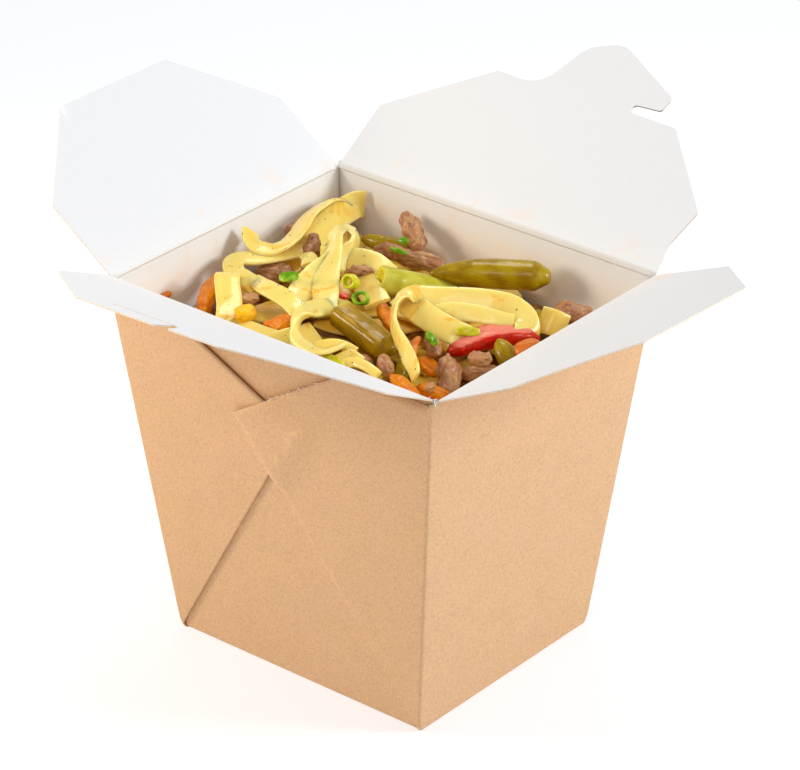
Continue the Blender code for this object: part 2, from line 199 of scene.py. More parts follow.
class Recipe:
    """A node material under construction, with its patterns on Object coordinates."""

    def __init__(self, name: str) -> None:
        """Start from a Principled shader."""
        self.material = bpy.data.materials.new(name)
        self.material.use_nodes = True
        self.tree = self.material.node_tree
        self.shader = self.tree.nodes["Principled BSDF"]
        self.place = self.tree.nodes.new("ShaderNodeTexCoord").outputs["Object"]

    def feed(self, socket: bpy.types.NodeSocket, value: Value) -> None:
        """Link a socket to another, or set its own value."""
        if isinstance(value, bpy.types.NodeSocket):
            self.tree.links.new(value, socket)
        elif socket.type == "RGBA":
            socket.default_value = (*value[:3], 1.0)
        else:
            socket.default_value = value

    def add(self, kind: str, inputs: dict[str | int, Value], **settings: object) -> bpy.types.Node:
        """Add a node, set its properties and feed its inputs."""
        node = self.tree.nodes.new(kind)
        for key, value in settings.items():
            setattr(node, key, value)
        for key, value in inputs.items():
            self.feed(node.inputs[key], value)
        return node

    def stretched(
        self, stretch: Sequence[float], turn: Sequence[float] = (0, 0, 0), source: Value | None = None
    ) -> bpy.types.NodeSocket:
        """Coordinates scaled along each axis after a turn in degrees."""
        inputs = {
            "Vector": source or self.place,
            "Rotation": [math.radians(angle) for angle in turn],
            "Scale": stretch,
        }
        return self.add("ShaderNodeMapping", inputs).outputs["Vector"]

    def noise(
        self, size: float, detail: float = 2.0, rough: float = 0.5, where: Value | None = None, warp: float = 0.0
    ) -> bpy.types.NodeSocket:
        """Soft noise whose features are about size millimetres across."""
        inputs = {
            "Vector": where or self.place,
            "Scale": 1 / (size * MM),
            "Detail": detail,
            "Roughness": rough,
            "Distortion": warp,
        }
        return self.add("ShaderNodeTexNoise", inputs).outputs["Fac"]

    def cells(self, size: float, where: Value | None = None) -> bpy.types.NodeSocket:
        """Distance to the nearest of scattered points, about size millimetres apart."""
        inputs = {"Vector": where or self.place, "Scale": 1 / (size * MM)}
        return self.add("ShaderNodeTexVoronoi", inputs).outputs["Distance"]

    def band(self, value: Value, low: float, high: float, top: float = 1.0) -> bpy.types.NodeSocket:
        """Smooth step of a socket, from 0 at low to top at high."""
        inputs = {"Value": value, 1: low, 2: high, 3: 0.0, 4: top}
        return self.add("ShaderNodeMapRange", inputs, interpolation_type="SMOOTHSTEP").outputs[0]

    def calc(self, operation: str, first: Value, second: Value = 0.0) -> bpy.types.NodeSocket:
        """One Math node."""
        return self.add("ShaderNodeMath", {0: first, 1: second}, operation=operation).outputs[0]

    def mix(self, share: Value, first: Value, second: Value, how: str = "MIX") -> bpy.types.NodeSocket:
        """Mix two colours."""
        node = self.add("ShaderNodeMix", {}, data_type="RGBA", blend_type=how)
        for key, value in zip((0, 6, 7), (share, first, second)):
            self.feed(node.inputs[key], value)
        return node.outputs[2]

    def attribute(self, name: str, output: str = "Fac") -> bpy.types.NodeSocket:
        """A named attribute of the mesh."""
        return self.add("ShaderNodeAttribute", {}, attribute_name=name).outputs[output]

    def facing_up(self) -> bpy.types.NodeSocket:
        """How far the surface faces up, from -1 to 1."""
        return self.axis(self.add("ShaderNodeNewGeometry", {}).outputs["Normal"], 2)

    def axis(self, source: Value, index: int) -> bpy.types.NodeSocket:
        """One component of a vector."""
        return self.add("ShaderNodeSeparateXYZ", {0: source}).outputs[index]

    def relief(self, height: Value, depth: float, strength: float = 1.0) -> None:
        """Bump the surface by a height socket, depth millimetres from 0 to 1."""
        inputs = {"Height": height, "Distance": depth * MM, "Strength": strength}
        self.feed(self.shader.inputs["Normal"], self.add("ShaderNodeBump", inputs).outputs["Normal"])

    def finish(self, **sockets: Value) -> bpy.types.Material:
        """Feed the shader's sockets, named in lower case with underscores, and return the material."""
        names = {key.name.lower().replace(" ", "_"): key for key in self.shader.inputs}
        for key, value in sockets.items():
            self.feed(names[key], value)
        return self.material


@dataclass(frozen=True)
class Kraft:
    """Brown paperboard with short fibres, dark specks and a faint cloudiness."""

    name: str = "kraft"
    color: tuple[float, float, float] = srgb(213, 171, 127)
    fibre: float = 0.55
    cloud: float = 9.0

    def make(self) -> bpy.types.Material:
        """Build the material."""
        recipe = Recipe(self.name)
        dark = tuple(c * 0.80 for c in self.color)
        light = tuple(min(1.0, c * 1.10) for c in self.color)
        pale = tuple(min(1.0, c * 1.30) for c in self.color)
        cloud = recipe.noise(self.cloud, 3.0, 0.6)
        color = recipe.mix(recipe.band(cloud, 0.3, 0.7), tuple(c * 0.95 for c in self.color), self.color)
        tint = recipe.band(recipe.noise(16.0, 2.0), 0.35, 0.65, 0.5)
        color = recipe.mix(tint, color, (self.color[0], self.color[1] * 0.97, self.color[2] * 1.10))
        for turn in (0, 65):
            along = recipe.stretched((1, 0.7, 0.8), (turn, turn, 25))
            threads = recipe.noise(self.fibre, 3.0, 0.7, along)
            color = recipe.mix(recipe.band(threads, 0.52, 0.68, 0.75), color, dark)
            color = recipe.mix(recipe.band(threads, 0.48, 0.32, 0.8), color, light)
        specks = recipe.band(recipe.cells(2.6), 0.10, 0.04, 0.55)
        kept = recipe.band(recipe.noise(2.0, 0.0), 0.52, 0.60)
        color = recipe.mix(recipe.calc("MULTIPLY", specks, kept), color, tuple(c * 0.35 for c in self.color))
        # Pale along the gusset folds, broken up by noise: painted highlight of the fold edges.
        worn = recipe.calc("MULTIPLY", recipe.attribute("worn"), recipe.band(recipe.noise(3.0), 0.3, 0.6, 0.6))
        color = recipe.mix(worn, color, pale)
        recipe.relief(recipe.noise(self.fibre, 3.0, 0.6), 0.03, 0.4)
        return recipe.finish(base_color=color, roughness=0.82, specular_ior_level=0.25)


@dataclass(frozen=True)
class WhiteBoard:
    """White lined side of the board, warm lower down from painted bounce light and shade, with a few grease marks near
    the food.
    """

    name: str = "white_lining"
    color: tuple[float, float, float] = (0.775, 0.77, 0.772)
    painted_bounce: tuple[float, float, float] = (0.97, 0.925, 0.84)
    # Grease marks, and painted warm bounce light and shade low on the board.
    grease_and_bounce: bool = True

    def make(self) -> bpy.types.Material:
        """Build the material."""
        recipe = Recipe(self.name)
        fibres = recipe.noise(0.8, 3.0, 0.6, recipe.stretched((1, 0.3, 0.6), (0, 0, 30)))
        color = recipe.mix(recipe.band(fibres, 0.35, 0.75, 0.5), self.color, tuple(c * 0.965 for c in self.color))
        if self.grease_and_bounce:
            # Warm lower down and an orange glow on the inner walls near the food: painted bounce light and shade. The
            # blots between are grease marks.
            height = recipe.axis(recipe.place, 2)
            low = recipe.band(height, 0.108, 0.094)
            color = recipe.mix(recipe.calc("MULTIPLY", low, 0.55), color, self.painted_bounce)
            blots = recipe.band(recipe.noise(9.0, 2.0, 0.5), 0.58, 0.72, 0.32)
            near = recipe.band(height, 0.110, 0.103)
            color = recipe.mix(recipe.calc("MULTIPLY", blots, near), color, (0.90, 0.66, 0.48))
            glow = recipe.band(height, 0.101, 0.092, 0.30)
            color = recipe.mix(glow, color, (0.95, 0.74, 0.52))
        recipe.relief(fibres, 0.02, 0.35)
        return recipe.finish(base_color=color, roughness=0.6, specular_ior_level=0.35)


@dataclass(frozen=True)
class CutBoard:
    """Cut edge of the board: pale core with rough fibres, dark brown where it faces down, partly the kraft liner and
    partly painted shade.
    """

    name: str = "cut_edge"
    color: tuple[float, float, float] = srgb(238, 222, 200)

    def make(self) -> bpy.types.Material:
        """Build the material."""
        recipe = Recipe(self.name)
        rough = recipe.noise(0.35, 3.0, 0.7)
        color = recipe.mix(recipe.band(rough, 0.4, 0.7), self.color, tuple(c * 0.72 for c in self.color))
        # Dark brown where the edge faces down: partly the kraft liner, partly painted shade.
        color = recipe.mix(recipe.band(recipe.facing_up(), 0.1, -0.25), color, srgb(104, 66, 44))
        recipe.relief(rough, 0.08, 0.6)
        return recipe.finish(base_color=color, roughness=0.9)


@dataclass(frozen=True)
class Pasta:
    """Boiled egg noodle: pale yellow, translucent, oiled in places, deeper gold lower down as painted shade and lighter
    along the edges as painted highlight.
    """

    name: str = "noodle"
    pale: tuple[float, float, float] = (0.87, 0.69, 0.20)
    deep: tuple[float, float, float] = (0.87, 0.54, 0.05)
    oil: tuple[float, float, float] = (0.90, 0.42, 0.01)

    def make(self) -> bpy.types.Material:
        """Build the material."""
        recipe = Recipe(self.name)
        # Colour depth per noodle: partly random, partly painted shade on the loose noodles that lie below.
        tone = recipe.attribute("tone")
        patches = recipe.noise(6.0, 3.0, 0.6, warp=0.4)
        depth = recipe.calc("ADD", recipe.calc("MULTIPLY", tone, 0.7), recipe.band(patches, 0.35, 0.8, 0.35))
        # Deeper gold lower down in the heap: painted shade.
        painted_low_shade = recipe.band(recipe.axis(recipe.place, 2), 0.097, 0.087, 0.5)
        color = recipe.mix(recipe.calc("ADD", depth, painted_low_shade), self.pale, self.deep)
        # Lighter along the ribbon edges: painted highlight.
        edge = recipe.band(recipe.calc("ABSOLUTE", recipe.attribute("across")), 0.78, 1.0, 0.30)
        color = recipe.mix(edge, color, (0.94, 0.80, 0.42))
        stain = recipe.band(recipe.noise(8.0, 3.0, 0.65, warp=0.8), 0.58, 0.70, 0.75)
        color = recipe.mix(stain, color, self.oil)
        specks = recipe.band(recipe.cells(3.4), 0.075, 0.035, 0.7)
        color = recipe.mix(specks, color, (0.30, 0.17, 0.04))
        grain = recipe.calc("ADD", recipe.noise(0.9, 3.0, 0.6), recipe.noise(3.5, 2.0))
        recipe.relief(grain, 0.10, 0.35)
        gloss = recipe.band(patches, 0.3, 0.7)
        rough = recipe.calc("ADD", recipe.calc("MULTIPLY", gloss, 0.18), 0.24)
        return recipe.finish(
            base_color=color,
            roughness=rough,
            subsurface_weight=0.55,
            subsurface_radius=(1.0, 0.75, 0.22),
            subsurface_scale=0.0024,
            specular_ior_level=0.45,
            specular_tint=(1.0, 0.9, 0.6),
            coat_weight=0.5,
            coat_roughness=0.09,
        )


@dataclass(frozen=True)
class GapShade:
    """Dark amber in the gaps between the noodles: painted shade."""

    name: str = "sauce"

    def make(self) -> bpy.types.Material:
        """Build the material."""
        recipe = Recipe(self.name)
        color = recipe.mix(recipe.band(recipe.noise(4.0, 3.0), 0.35, 0.65), srgb(190, 134, 36), srgb(136, 86, 18))
        recipe.relief(recipe.noise(1.5, 2.0), 0.2, 0.5)
        return recipe.finish(base_color=color, roughness=0.3, specular_ior_level=0.5)


@dataclass(frozen=True)
class Bean:
    """Cooked green bean: olive skin with fine lengthwise streaks, waxy and wet."""

    name: str
    skin: tuple[float, float, float]
    shade: tuple[float, float, float]
    streak: tuple[float, float, float]
    painted_sheen: float = 0.0  # painted highlight: pale streaks on the side that faces up

    def make(self) -> bpy.types.Material:
        """Build the material."""
        recipe = Recipe(self.name)
        grain = recipe.attribute("grain", "Vector")
        along = recipe.stretched((0.12, 1, 1), source=grain)
        streaks = recipe.noise(1.1, 3.0, 0.6, along)
        patches = recipe.noise(5.0, 2.0, 0.5)
        color = recipe.mix(recipe.band(patches, 0.35, 0.7), self.skin, self.shade)
        color = recipe.mix(recipe.band(streaks, 0.52, 0.78, 0.7), color, self.streak)
        pores = recipe.band(recipe.cells(0.9), 0.18, 0.08, 0.35)
        color = recipe.mix(pores, color, tuple(c * 0.5 for c in self.shade))
        # Pale streaks where the skin faces up: painted highlight.
        if self.painted_sheen:
            upward = recipe.band(recipe.facing_up(), 0.70, 0.88)
            worn = recipe.band(recipe.noise(1.6, 3.0, 0.6, along), 0.46, 0.60, self.painted_sheen)
            color = recipe.mix(recipe.calc("MULTIPLY", upward, worn), color, srgb(206, 168, 84))
        inside = recipe.attribute("cut")
        color = recipe.mix(inside, color, srgb(212, 196, 40))
        recipe.relief(recipe.calc("ADD", streaks, recipe.noise(1.0, 2.0, 0.5)), 0.10, 0.35)
        rough = recipe.calc("ADD", recipe.band(recipe.noise(1.6, 2.0), 0.4, 0.65, 0.25), 0.22)
        return recipe.finish(
            base_color=color,
            roughness=rough,
            subsurface_weight=0.12,
            subsurface_radius=(0.8, 1.0, 0.2),
            subsurface_scale=0.0012,
            specular_ior_level=0.2,
            specular_tint=(1.0, 0.9, 0.5),
            coat_weight=0.4,
            coat_roughness=0.2,
        )


@dataclass(frozen=True)
class Beef:
    """Seared beef strip: tan to mauve, fibrous, with a moist shine."""

    name: str = "beef_seared"
    tan: tuple[float, float, float] = srgb(192, 140, 86)
    brown: tuple[float, float, float] = srgb(138, 82, 46)
    mauve: tuple[float, float, float] = srgb(178, 118, 80)

    def make(self) -> bpy.types.Material:
        """Build the material."""
        recipe = Recipe(self.name)
        grain = recipe.attribute("grain", "Vector")
        fibres = recipe.noise(0.9, 4.0, 0.65, recipe.stretched((0.16, 1, 1), source=grain), 0.5)
        patches = recipe.noise(3.2, 3.0, 0.6)
        color = recipe.mix(recipe.band(patches, 0.38, 0.66), self.tan, self.mauve)
        color = recipe.mix(recipe.band(fibres, 0.50, 0.74, 0.9), color, self.brown)
        # Darker in the bottoms of the furrows: painted shade.
        color = recipe.mix(recipe.band(recipe.attribute("hollow"), 0.45, 0.95, 0.6), color, srgb(120, 70, 44))
        recipe.relief(recipe.calc("ADD", fibres, recipe.noise(0.4, 3.0, 0.7)), 0.22, 0.5)
        rough = recipe.calc("ADD", recipe.band(patches, 0.4, 0.7, 0.25), 0.30)
        return recipe.finish(
            base_color=color,
            roughness=rough,
            subsurface_weight=0.10,
            subsurface_radius=(1.0, 0.45, 0.3),
            subsurface_scale=0.0012,
            specular_ior_level=0.3,
            coat_weight=0.3,
            coat_roughness=0.18,
        )


@dataclass(frozen=True)
class Root:
    """Cooked carrot or pepper: saturated, smooth and glossy, with fine streaks."""

    name: str
    base: tuple[float, float, float]
    light: tuple[float, float, float]
    deep: tuple[float, float, float]
    gloss: float = 0.3
    glare: float = 0.0  # painted pink highlight on the side that faces up

    def make(self) -> bpy.types.Material:
        """Build the material."""
        recipe = Recipe(self.name)
        grain = recipe.attribute("grain", "Vector")
        streaks = recipe.noise(1.3, 3.0, 0.6, recipe.stretched((0.2, 1, 1), source=grain), 0.3)
        patches = recipe.noise(3.0, 3.0, 0.6)
        color = recipe.mix(recipe.band(patches, 0.35, 0.72), self.base, self.deep)
        color = recipe.mix(recipe.band(streaks, 0.5, 0.8, 0.8), color, self.light)
        # Pink where the skin faces up: painted highlight.
        if self.glare:
            upward = recipe.band(recipe.facing_up(), 0.72, 0.9, self.glare)
            color = recipe.mix(upward, color, srgb(240, 140, 118))
        recipe.relief(recipe.calc("ADD", streaks, recipe.noise(0.5, 3.0, 0.6)), 0.16, 0.5)
        rough = recipe.calc("ADD", recipe.band(patches, 0.3, 0.7, 0.2), self.gloss - 0.08)
        return recipe.finish(
            base_color=color,
            roughness=rough,
            subsurface_weight=0.15,
            subsurface_radius=(1.0, 0.5, 0.1),
            subsurface_scale=0.0010,
            specular_ior_level=0.5,
            specular_tint=(1.0, 0.72, 0.35),
        )


@dataclass(frozen=True)
class Shoot:
    """Translucent sprout, onion or spring onion."""

    name: str
    base: tuple[float, float, float]
    light: tuple[float, float, float]
    clear: float = 0.25

    def make(self) -> bpy.types.Material:
        """Build the material."""
        recipe = Recipe(self.name)
        streaks = recipe.noise(2.4, 2.0, 0.5)
        color = recipe.mix(recipe.band(streaks, 0.4, 0.7), self.base, self.light)
        recipe.relief(streaks, 0.06, 0.25)
        return recipe.finish(
            base_color=color,
            roughness=recipe.calc("ADD", recipe.band(streaks, 0.3, 0.7, 0.12), 0.22),
            subsurface_weight=0.4,
            subsurface_radius=(0.9, 1.0, 0.4),
            subsurface_scale=0.0018,
            transmission_weight=self.clear,
            specular_ior_level=0.3,
        )


@dataclass(frozen=True)
class Speck:
    """Ground pepper and other dark crumbs."""

    name: str = "pepper_speck"

    def make(self) -> bpy.types.Material:
        """Build the material."""
        recipe = Recipe(self.name)
        color = recipe.mix(recipe.band(recipe.noise(3.0), 0.4, 0.6), srgb(70, 42, 20), srgb(30, 20, 12))
        return recipe.finish(base_color=color, roughness=0.6)


@dataclass
class Pantry:
    """Every finish of the object, made once."""

    made: dict[str, bpy.types.Material] = field(default_factory=dict)

    def __post_init__(self) -> None:
        """Make all the finishes."""
        olive = dict(shade=srgb(138, 104, 2), streak=srgb(184, 160, 36))
        for finish in (
            Kraft(),
            WhiteBoard(),
            CutBoard(),
            Pasta(),
            Bean("bean_olive", skin=srgb(164, 136, 4), **olive),
            Bean("bean_waxy", skin=srgb(164, 126, 4), painted_sheen=0.6, **olive),
            Bean("bean_fresh", srgb(206, 196, 70), srgb(182, 172, 40), srgb(232, 226, 136)),
            Beef(),
            Root("carrot_flesh", srgb(224, 128, 0), srgb(238, 156, 4), srgb(210, 104, 0)),
            Root("pepper_skin", srgb(204, 14, 4), srgb(220, 44, 24), srgb(176, 4, 2), 0.24, glare=0.75),
            Shoot("scallion", srgb(92, 146, 8), srgb(156, 190, 20), 0.0),
            Shoot("scallion_pale", srgb(206, 198, 8), srgb(226, 220, 80), 0.1),
            Shoot("onion", srgb(244, 222, 150), srgb(250, 238, 190), 0.1),
            Root("orange_skin", srgb(222, 128, 60), srgb(236, 168, 112), srgb(206, 92, 20)),
            Root("squash", srgb(238, 186, 20), srgb(246, 210, 70), srgb(228, 150, 4)),
            Speck(),
            GapShade(),
        ):
            self.made[finish.name] = finish.make()

    def __getitem__(self, name: str) -> bpy.types.Material:
        """The material of that name."""
        return self.made[name]


# ---- The box -----------------------------------------------------------------------------------------


@dataclass(frozen=True)
class Gusset:
    """Folded web of a corner, laid on a folded face. Places are along X and above the table, in mm."""

    side: int  # which X wall it folds from
    tip: tuple[float, float]  # end of the fold
    rim: float  # where its cut edge reaches the top
    lower: Gusset | None = None  # the gusset that it lies on
    spring: float = 0.3  # how far its cut edge stands open


@dataclass
class Carton:
    """Floor, four sloping walls and the four gussets, in one sheet of board per wall."""

    frame: dict
    kraft: bpy.types.Material
    lining: bpy.types.Material
    edge: bpy.types.Material
    board: float = 0.4
    wall_top: float = 102.15
    gusset_top: float = 101.4
    base: tuple[float, float] = (40.8, 34.1)
    stack: float = 1.05  # face of a wall to the outside of the gusset on it
    corner: float = 0.9  # radius of the upright corners
    foot: float = 0.9  # radius along the base
    bulge: float = 0.3
    rim: tuple[float, float] = (0.0, 0.0)
    height: float = 0.0

    def __post_init__(self) -> None:
        """Take the rim from the creases of the frame."""
        places = {joint["name"]: Vector(joint["pos_m"]) / MM for joint in self.frame["joints"]}
        half_board = self.board / 2
        self.rim = (places["front_dust_crease"].x + half_board, places["hooked_crease"].y + half_board)
        self.height = places["hooked_crease"].z - half_board
        under = Gusset(-1, (7.5, 79.2), -34.9, spring=0.7)
        self.gussets = {-1: under, 1: Gusset(1, (-11.7, 78.2), 25.5, under)}

    def half(self, z: float) -> tuple[float, float]:
        """Half sizes of the walls' outside at a height, drawn in where they round into the floor."""
        rise = z / self.height
        tucked = 0.0
        if z < self.foot:
            tucked = self.foot - math.sqrt(self.foot**2 - (self.foot - z) ** 2)
        half_x, half_y = (between(low, high, rise) for low, high in zip(self.base, self.rim))
        return half_x - tucked, half_y - tucked

    def edge_at(self, gusset: Gusset, z: float) -> float:
        """Where a gusset's fold, or its cut edge above the tip, is along X at a height."""
        tip_x, tip_z = gusset.tip
        if z <= tip_z:
            return between(gusset.side * self.base[0], tip_x, z / tip_z)
        return between(tip_x, gusset.rim, (z - tip_z) / (self.gusset_top - tip_z))

    def swell(self, share: float, z: float) -> float:
        """How far a wall bows out, by the share of its half width and the height."""
        return self.bulge * math.sin(math.pi * min(1.0, z / self.height)) * max(0.0, 1 - share * share)

    def stand_off(self, gusset: Gusset, x: float, z: float) -> float:
        """Height of a gusset's outside above the wall's face."""
        half_x, _ = self.half(z)
        rise = self.stack * blend_in(z, -3.0, 4.0) + self.swell(x / half_x, z)
        if gusset.lower is not None:
            rise += 1.25 * blend_in(self.edge_at(gusset.lower, z) - x, -10.0, -0.5)
        tip_z = gusset.tip[1]
        free = blend_in(z, tip_z - 22, tip_z + 4) * blend_in(gusset.side * (self.edge_at(gusset, z) - x), -16, 0)
        return rise + gusset.spring * free

    def quarter(self, gusset: Gusset, z: float) -> list[tuple[float, float]]:
        """One level line from a gusset's hidden layer around its fold and the corner to mid wall.

        Args:
            gusset: The gusset of this wall.
            z: Height of the line.

        Returns:
            Points as (x, distance from the middle of the box along Y).
        """
        side = gusset.side
        half_x, half_y = self.half(z)
        grown = blend_in(z, -3.0, 4.0)
        fold = 0.45 * grown + 0.001
        sharp = fold * (1 - blend_in(z, gusset.tip[1] - 2, gusset.tip[1]))
        corner_x = side * (half_x - self.corner)
        edge = self.edge_at(gusset, z) + side * sharp
        edge = min(edge, corner_x) if side > 0 else max(edge, corner_x)
        tuck_x = side * (half_x - self.corner - 0.4 * grown)
        tuck_x = max(tuck_x, edge) if side > 0 else min(tuck_x, edge)
        line = []
        for x in spread(tuck_x, edge, 9)[:-1]:
            line.append((x, half_y + self.stand_off(gusset, x, z) - 2 * fold))
        rise = half_y + self.stand_off(gusset, edge, z) - fold
        for turn in spread(0.0, math.pi, 6):
            line.append((edge - side * sharp * math.sin(turn), rise - fold * math.cos(turn)))
        for x in spread(edge, corner_x, 27)[1:]:
            line.append((x, half_y + self.stand_off(gusset, x, z)))
        rise = half_y + self.stand_off(gusset, corner_x, z) - self.corner
        for turn in spread(0.0, math.pi / 2, 6)[1:]:
            line.append((corner_x + side * self.corner * math.sin(turn), rise + self.corner * math.cos(turn)))
        for y in spread(rise, 0.0, 15)[1:]:
            line.append((side * (half_x + self.swell(y / half_y, z)), y))
        return line

    def levels(self, tip_z: float | None = None) -> list[float]:
        """Heights of the level lines, close together at the foot and at a gusset's tip."""
        heights = [self.foot * (1 - math.cos(turn)) for turn in spread(0.0, math.pi / 2, 5)]
        heights += [1.6, 2.6, 4.0, 6.0] + spread(9.0, self.gusset_top, 38)
        if tip_z is not None:
            heights = [z for z in heights if abs(z - tip_z) > 1.0] + [tip_z - 0.9, tip_z, tip_z + 0.02]
        return sorted(heights) + [self.wall_top]

    def wrap(self, gusset: Gusset) -> bpy.types.Object:
        """One X wall and its two gussets as one folded sheet."""
        heights = self.levels(gusset.tip[1])
        rows = []
        for z in heights:
            line = self.quarter(gusset, z)
            row = [Vector((x, -y, z)) for x, y in line] + [Vector((x, y, z)) for x, y in reversed(line[:-1])]
            rows.append(row if gusset.side > 0 else row[::-1])
        columns = len(rows[0])
        inner, fold, outer = 8, 5, 26
        top_row = len(rows) - 2

        def wanted(i: int, j: int) -> bool:
            from_end = min(j, columns - 2 - j)
            if heights[i] < 6.0 and from_end < inner:
                return False
            if heights[i] >= gusset.tip[1] and inner <= from_end < inner + fold:
                return False
            return i < top_row or from_end >= inner + fold + outer

        mesh = sheet_mesh("wrap", rows, wanted)
        return thicken(new_object("wrap", mesh, self.kraft, self.lining, self.edge), self.board)

    def panel(self, side: int) -> bpy.types.Object:
        """One Y wall, which the gussets lie on."""
        rows = []
        for z in self.levels():
            half_x, half_y = self.half(z)
            reach = half_x - self.corner - 0.1
            xs = spread(-side * -reach, side * -reach, 41)
            rows.append([Vector((x, side * (half_y + self.swell(x / half_x, z)), z)) for x in xs])
        mesh = sheet_mesh("panel", rows)
        return thicken(new_object("panel", mesh, self.kraft, self.lining, self.edge), self.board)

    def floor(self) -> bpy.types.Object:
        """The bottom, between the feet of the walls."""
        half_x, half_y = (size - self.foot + 0.05 for size in self.base)
        rows = [[Vector((x, y, 0.0)) for x in spread(half_x, -half_x, 9)] for y in spread(-half_y, half_y, 7)]
        mesh = sheet_mesh("floor", rows)
        return thicken(new_object("floor", mesh, self.kraft, self.lining, self.edge), self.board)

    def mark_folds(self, mesh: bpy.types.Mesh) -> None:
        """Store where the board gets a painted highlight: pale along the outer edges of the gussets' folds."""
        worn = []
        for vert in mesh.vertices:
            x, y, z = vert.co / MM
            folds = [abs(x - self.edge_at(g, z)) for g in self.gussets.values() if z < g.tip[1] + 0.5]
            outer = abs(y) > self.half(max(z, 0.0))[1] + 0.25
            worn.append(max([0.0] + [1 - distance / 0.9 for distance in folds]) if outer else 0.0)
        mesh.attributes.new("worn", "FLOAT", "POINT").data.foreach_set("value", worn)

    def make(self) -> bpy.types.Object:
        """Build the box and put it in the carton's place."""
        sheets = [self.wrap(self.gussets[side]) for side in (1, -1)]
        sheets += [self.panel(side) for side in (-1, 1)] + [self.floor()]
        carton = join("carton_board", sheets)
        for vert in carton.data.vertices:
            vert.co.z = max(vert.co.z, 0.0)
        self.mark_folds(carton.data)
        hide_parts("carton")
        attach(carton, "root")
        return carton


class Face(IntEnum):
    """Material slot by the side of the board."""

    OUTSIDE = 0
    INSIDE = 1
    EDGE = 2


@dataclass
class Flap:
    """One flap with the strip of board along its crease."""

    node: str
    crease: str
    twist: tuple[float, float]  # extra opening at the two ends of the crease, in degrees
    bow: float  # rise of the middle of the flap, in mm
    board: float = 0.4
    cut: float = 2.2  # spacing of the mesh lines
    gap: float = 0.45  # from the crease's axis to the board

    def place(self, frame: dict) -> None:
        """Read the crease and the flap's directions from the frame."""
        joint = next(entry for entry in frame["joints"] if entry["name"] == self.crease)
        self.origin = Vector(joint["pos_m"])
        self.out = Vector((self.origin.x, self.origin.y, 0)).normalized()
        self.along = Vector((abs(self.out.y), abs(self.out.x), 0))
        points = [vert.co - self.origin for vert in frame["nodes"][self.node].data.vertices]
        far = max(points, key=lambda point: point.dot(self.out))
        self.away = (far - self.along * far.dot(self.along)).normalized()
        self.up = self.along.cross(self.away)
        if self.up.z < 0:
            self.up.negate()
        self.span = [way(point.dot(self.along) for point in points) for way in (min, max)]
        self.reach = max(point.dot(self.away) for point in points)

    def board_mesh(self, frame: dict) -> bpy.types.Mesh:
        """The flap's own outline, cut into a fine mesh, twisted and bowed."""
        builder = bmesh.new()
        builder.from_mesh(frame["nodes"][self.node].data)
        bmesh.ops.remove_doubles(builder, verts=builder.verts, dist=1e-6)
        bmesh.ops.dissolve_limit(builder, angle_limit=0.02, verts=builder.verts, edges=builder.edges)
        for axis, low, high in ((self.along, *self.span), (self.away, 0.0, self.reach)):
            for k in range(1, int((high - low) / (self.cut * MM))):
                point = self.origin + axis * (low + k * self.cut * MM)
                every = builder.verts[:] + builder.edges[:] + builder.faces[:]
                bmesh.ops.bisect_plane(builder, geom=every, dist=1e-7, plane_co=point, plane_no=axis)
        for face in builder.faces:
            lean = face.normal.dot(self.up)
            face.material_index = Face.INSIDE if lean > 0.7 else Face.OUTSIDE if lean < -0.7 else Face.EDGE
        for vert in builder.verts:
            local = vert.co - self.origin
            s, v = local.dot(self.along), local.dot(self.away)
            share = (s - self.span[0]) / (self.span[1] - self.span[0])
            turn = math.radians(between(*self.twist, share))
            lift = self.bow * MM * math.sin(math.pi * min(1.0, v / self.reach)) * math.sin(math.pi * share)
            n = local.dot(self.up) + lift
            reach = self.away * (v * math.cos(turn) - n * math.sin(turn))
            rise = self.up * (v * math.sin(turn) + n * math.cos(turn))
            vert.co = self.origin + self.along * s + reach + rise
        mesh = bpy.data.meshes.new(self.node)
        builder.to_mesh(mesh)
        builder.free()
        return mesh

    def strip_mesh(self, carton: Carton) -> bpy.types.Mesh:
        """The bent strip from the top of the wall to the flap, as its outer skin."""
        top = carton.wall_top * MM
        inset = self.board / 2 * MM
        half = carton.half(carton.wall_top)[0 if abs(self.out.x) > 0.5 else 1] * MM - inset
        wall = self.out * half + Vector((0, 0, top))
        lowest = wall - Vector((0, 0, 0.5 * MM)) - self.out * 0.06 * MM
        root = self.origin + self.away * self.gap * MM
        self.bend_from, self.bend_to = wall, root
        pulled = root + self.away * 0.4 * MM
        line = [lowest]
        for t in spread(0.0, 1.0, 9):
            line.append(wall * (1 - t) ** 2 + self.origin * 2 * t * (1 - t) + root * t * t)
        line.append(pulled)
        rows = []
        for i, point in enumerate(line):
            ahead = line[min(i + 1, len(line) - 1)] - line[max(i - 1, 0)]
            normal = ahead.cross(self.along).normalized()
            if normal.dot(self.out) < 0:
                normal.negate()
            skin = point + normal * inset
            ends = spread(*self.span, 40)
            rows.append([(skin + self.along * (s - skin.dot(self.along))) / MM for s in ends])
        if self.along.cross(self.out).z > 0:
            rows = [row[::-1] for row in rows]
        return sheet_mesh(self.node + "_crease", rows)

    def make(self, frame: dict, carton: Carton) -> list[bpy.types.Object]:
        """Build the flap and its crease strip."""
        self.place(frame)
        finishes = (carton.kraft, carton.lining, carton.edge)
        flap = new_object(self.node + "_board", self.board_mesh(frame), *finishes)
        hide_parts(self.node)
        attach(flap, self.node)
        strip = new_object(self.node + "_crease", self.strip_mesh(carton), *finishes)
        thicken(strip, self.board)
        for face in strip.data.polygons:
            face.material_index = min(face.material_index, Face.INSIDE)
        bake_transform(strip)
        return [flap, strip]


# ---- Noodles -----------------------------------------------------------------------------------------


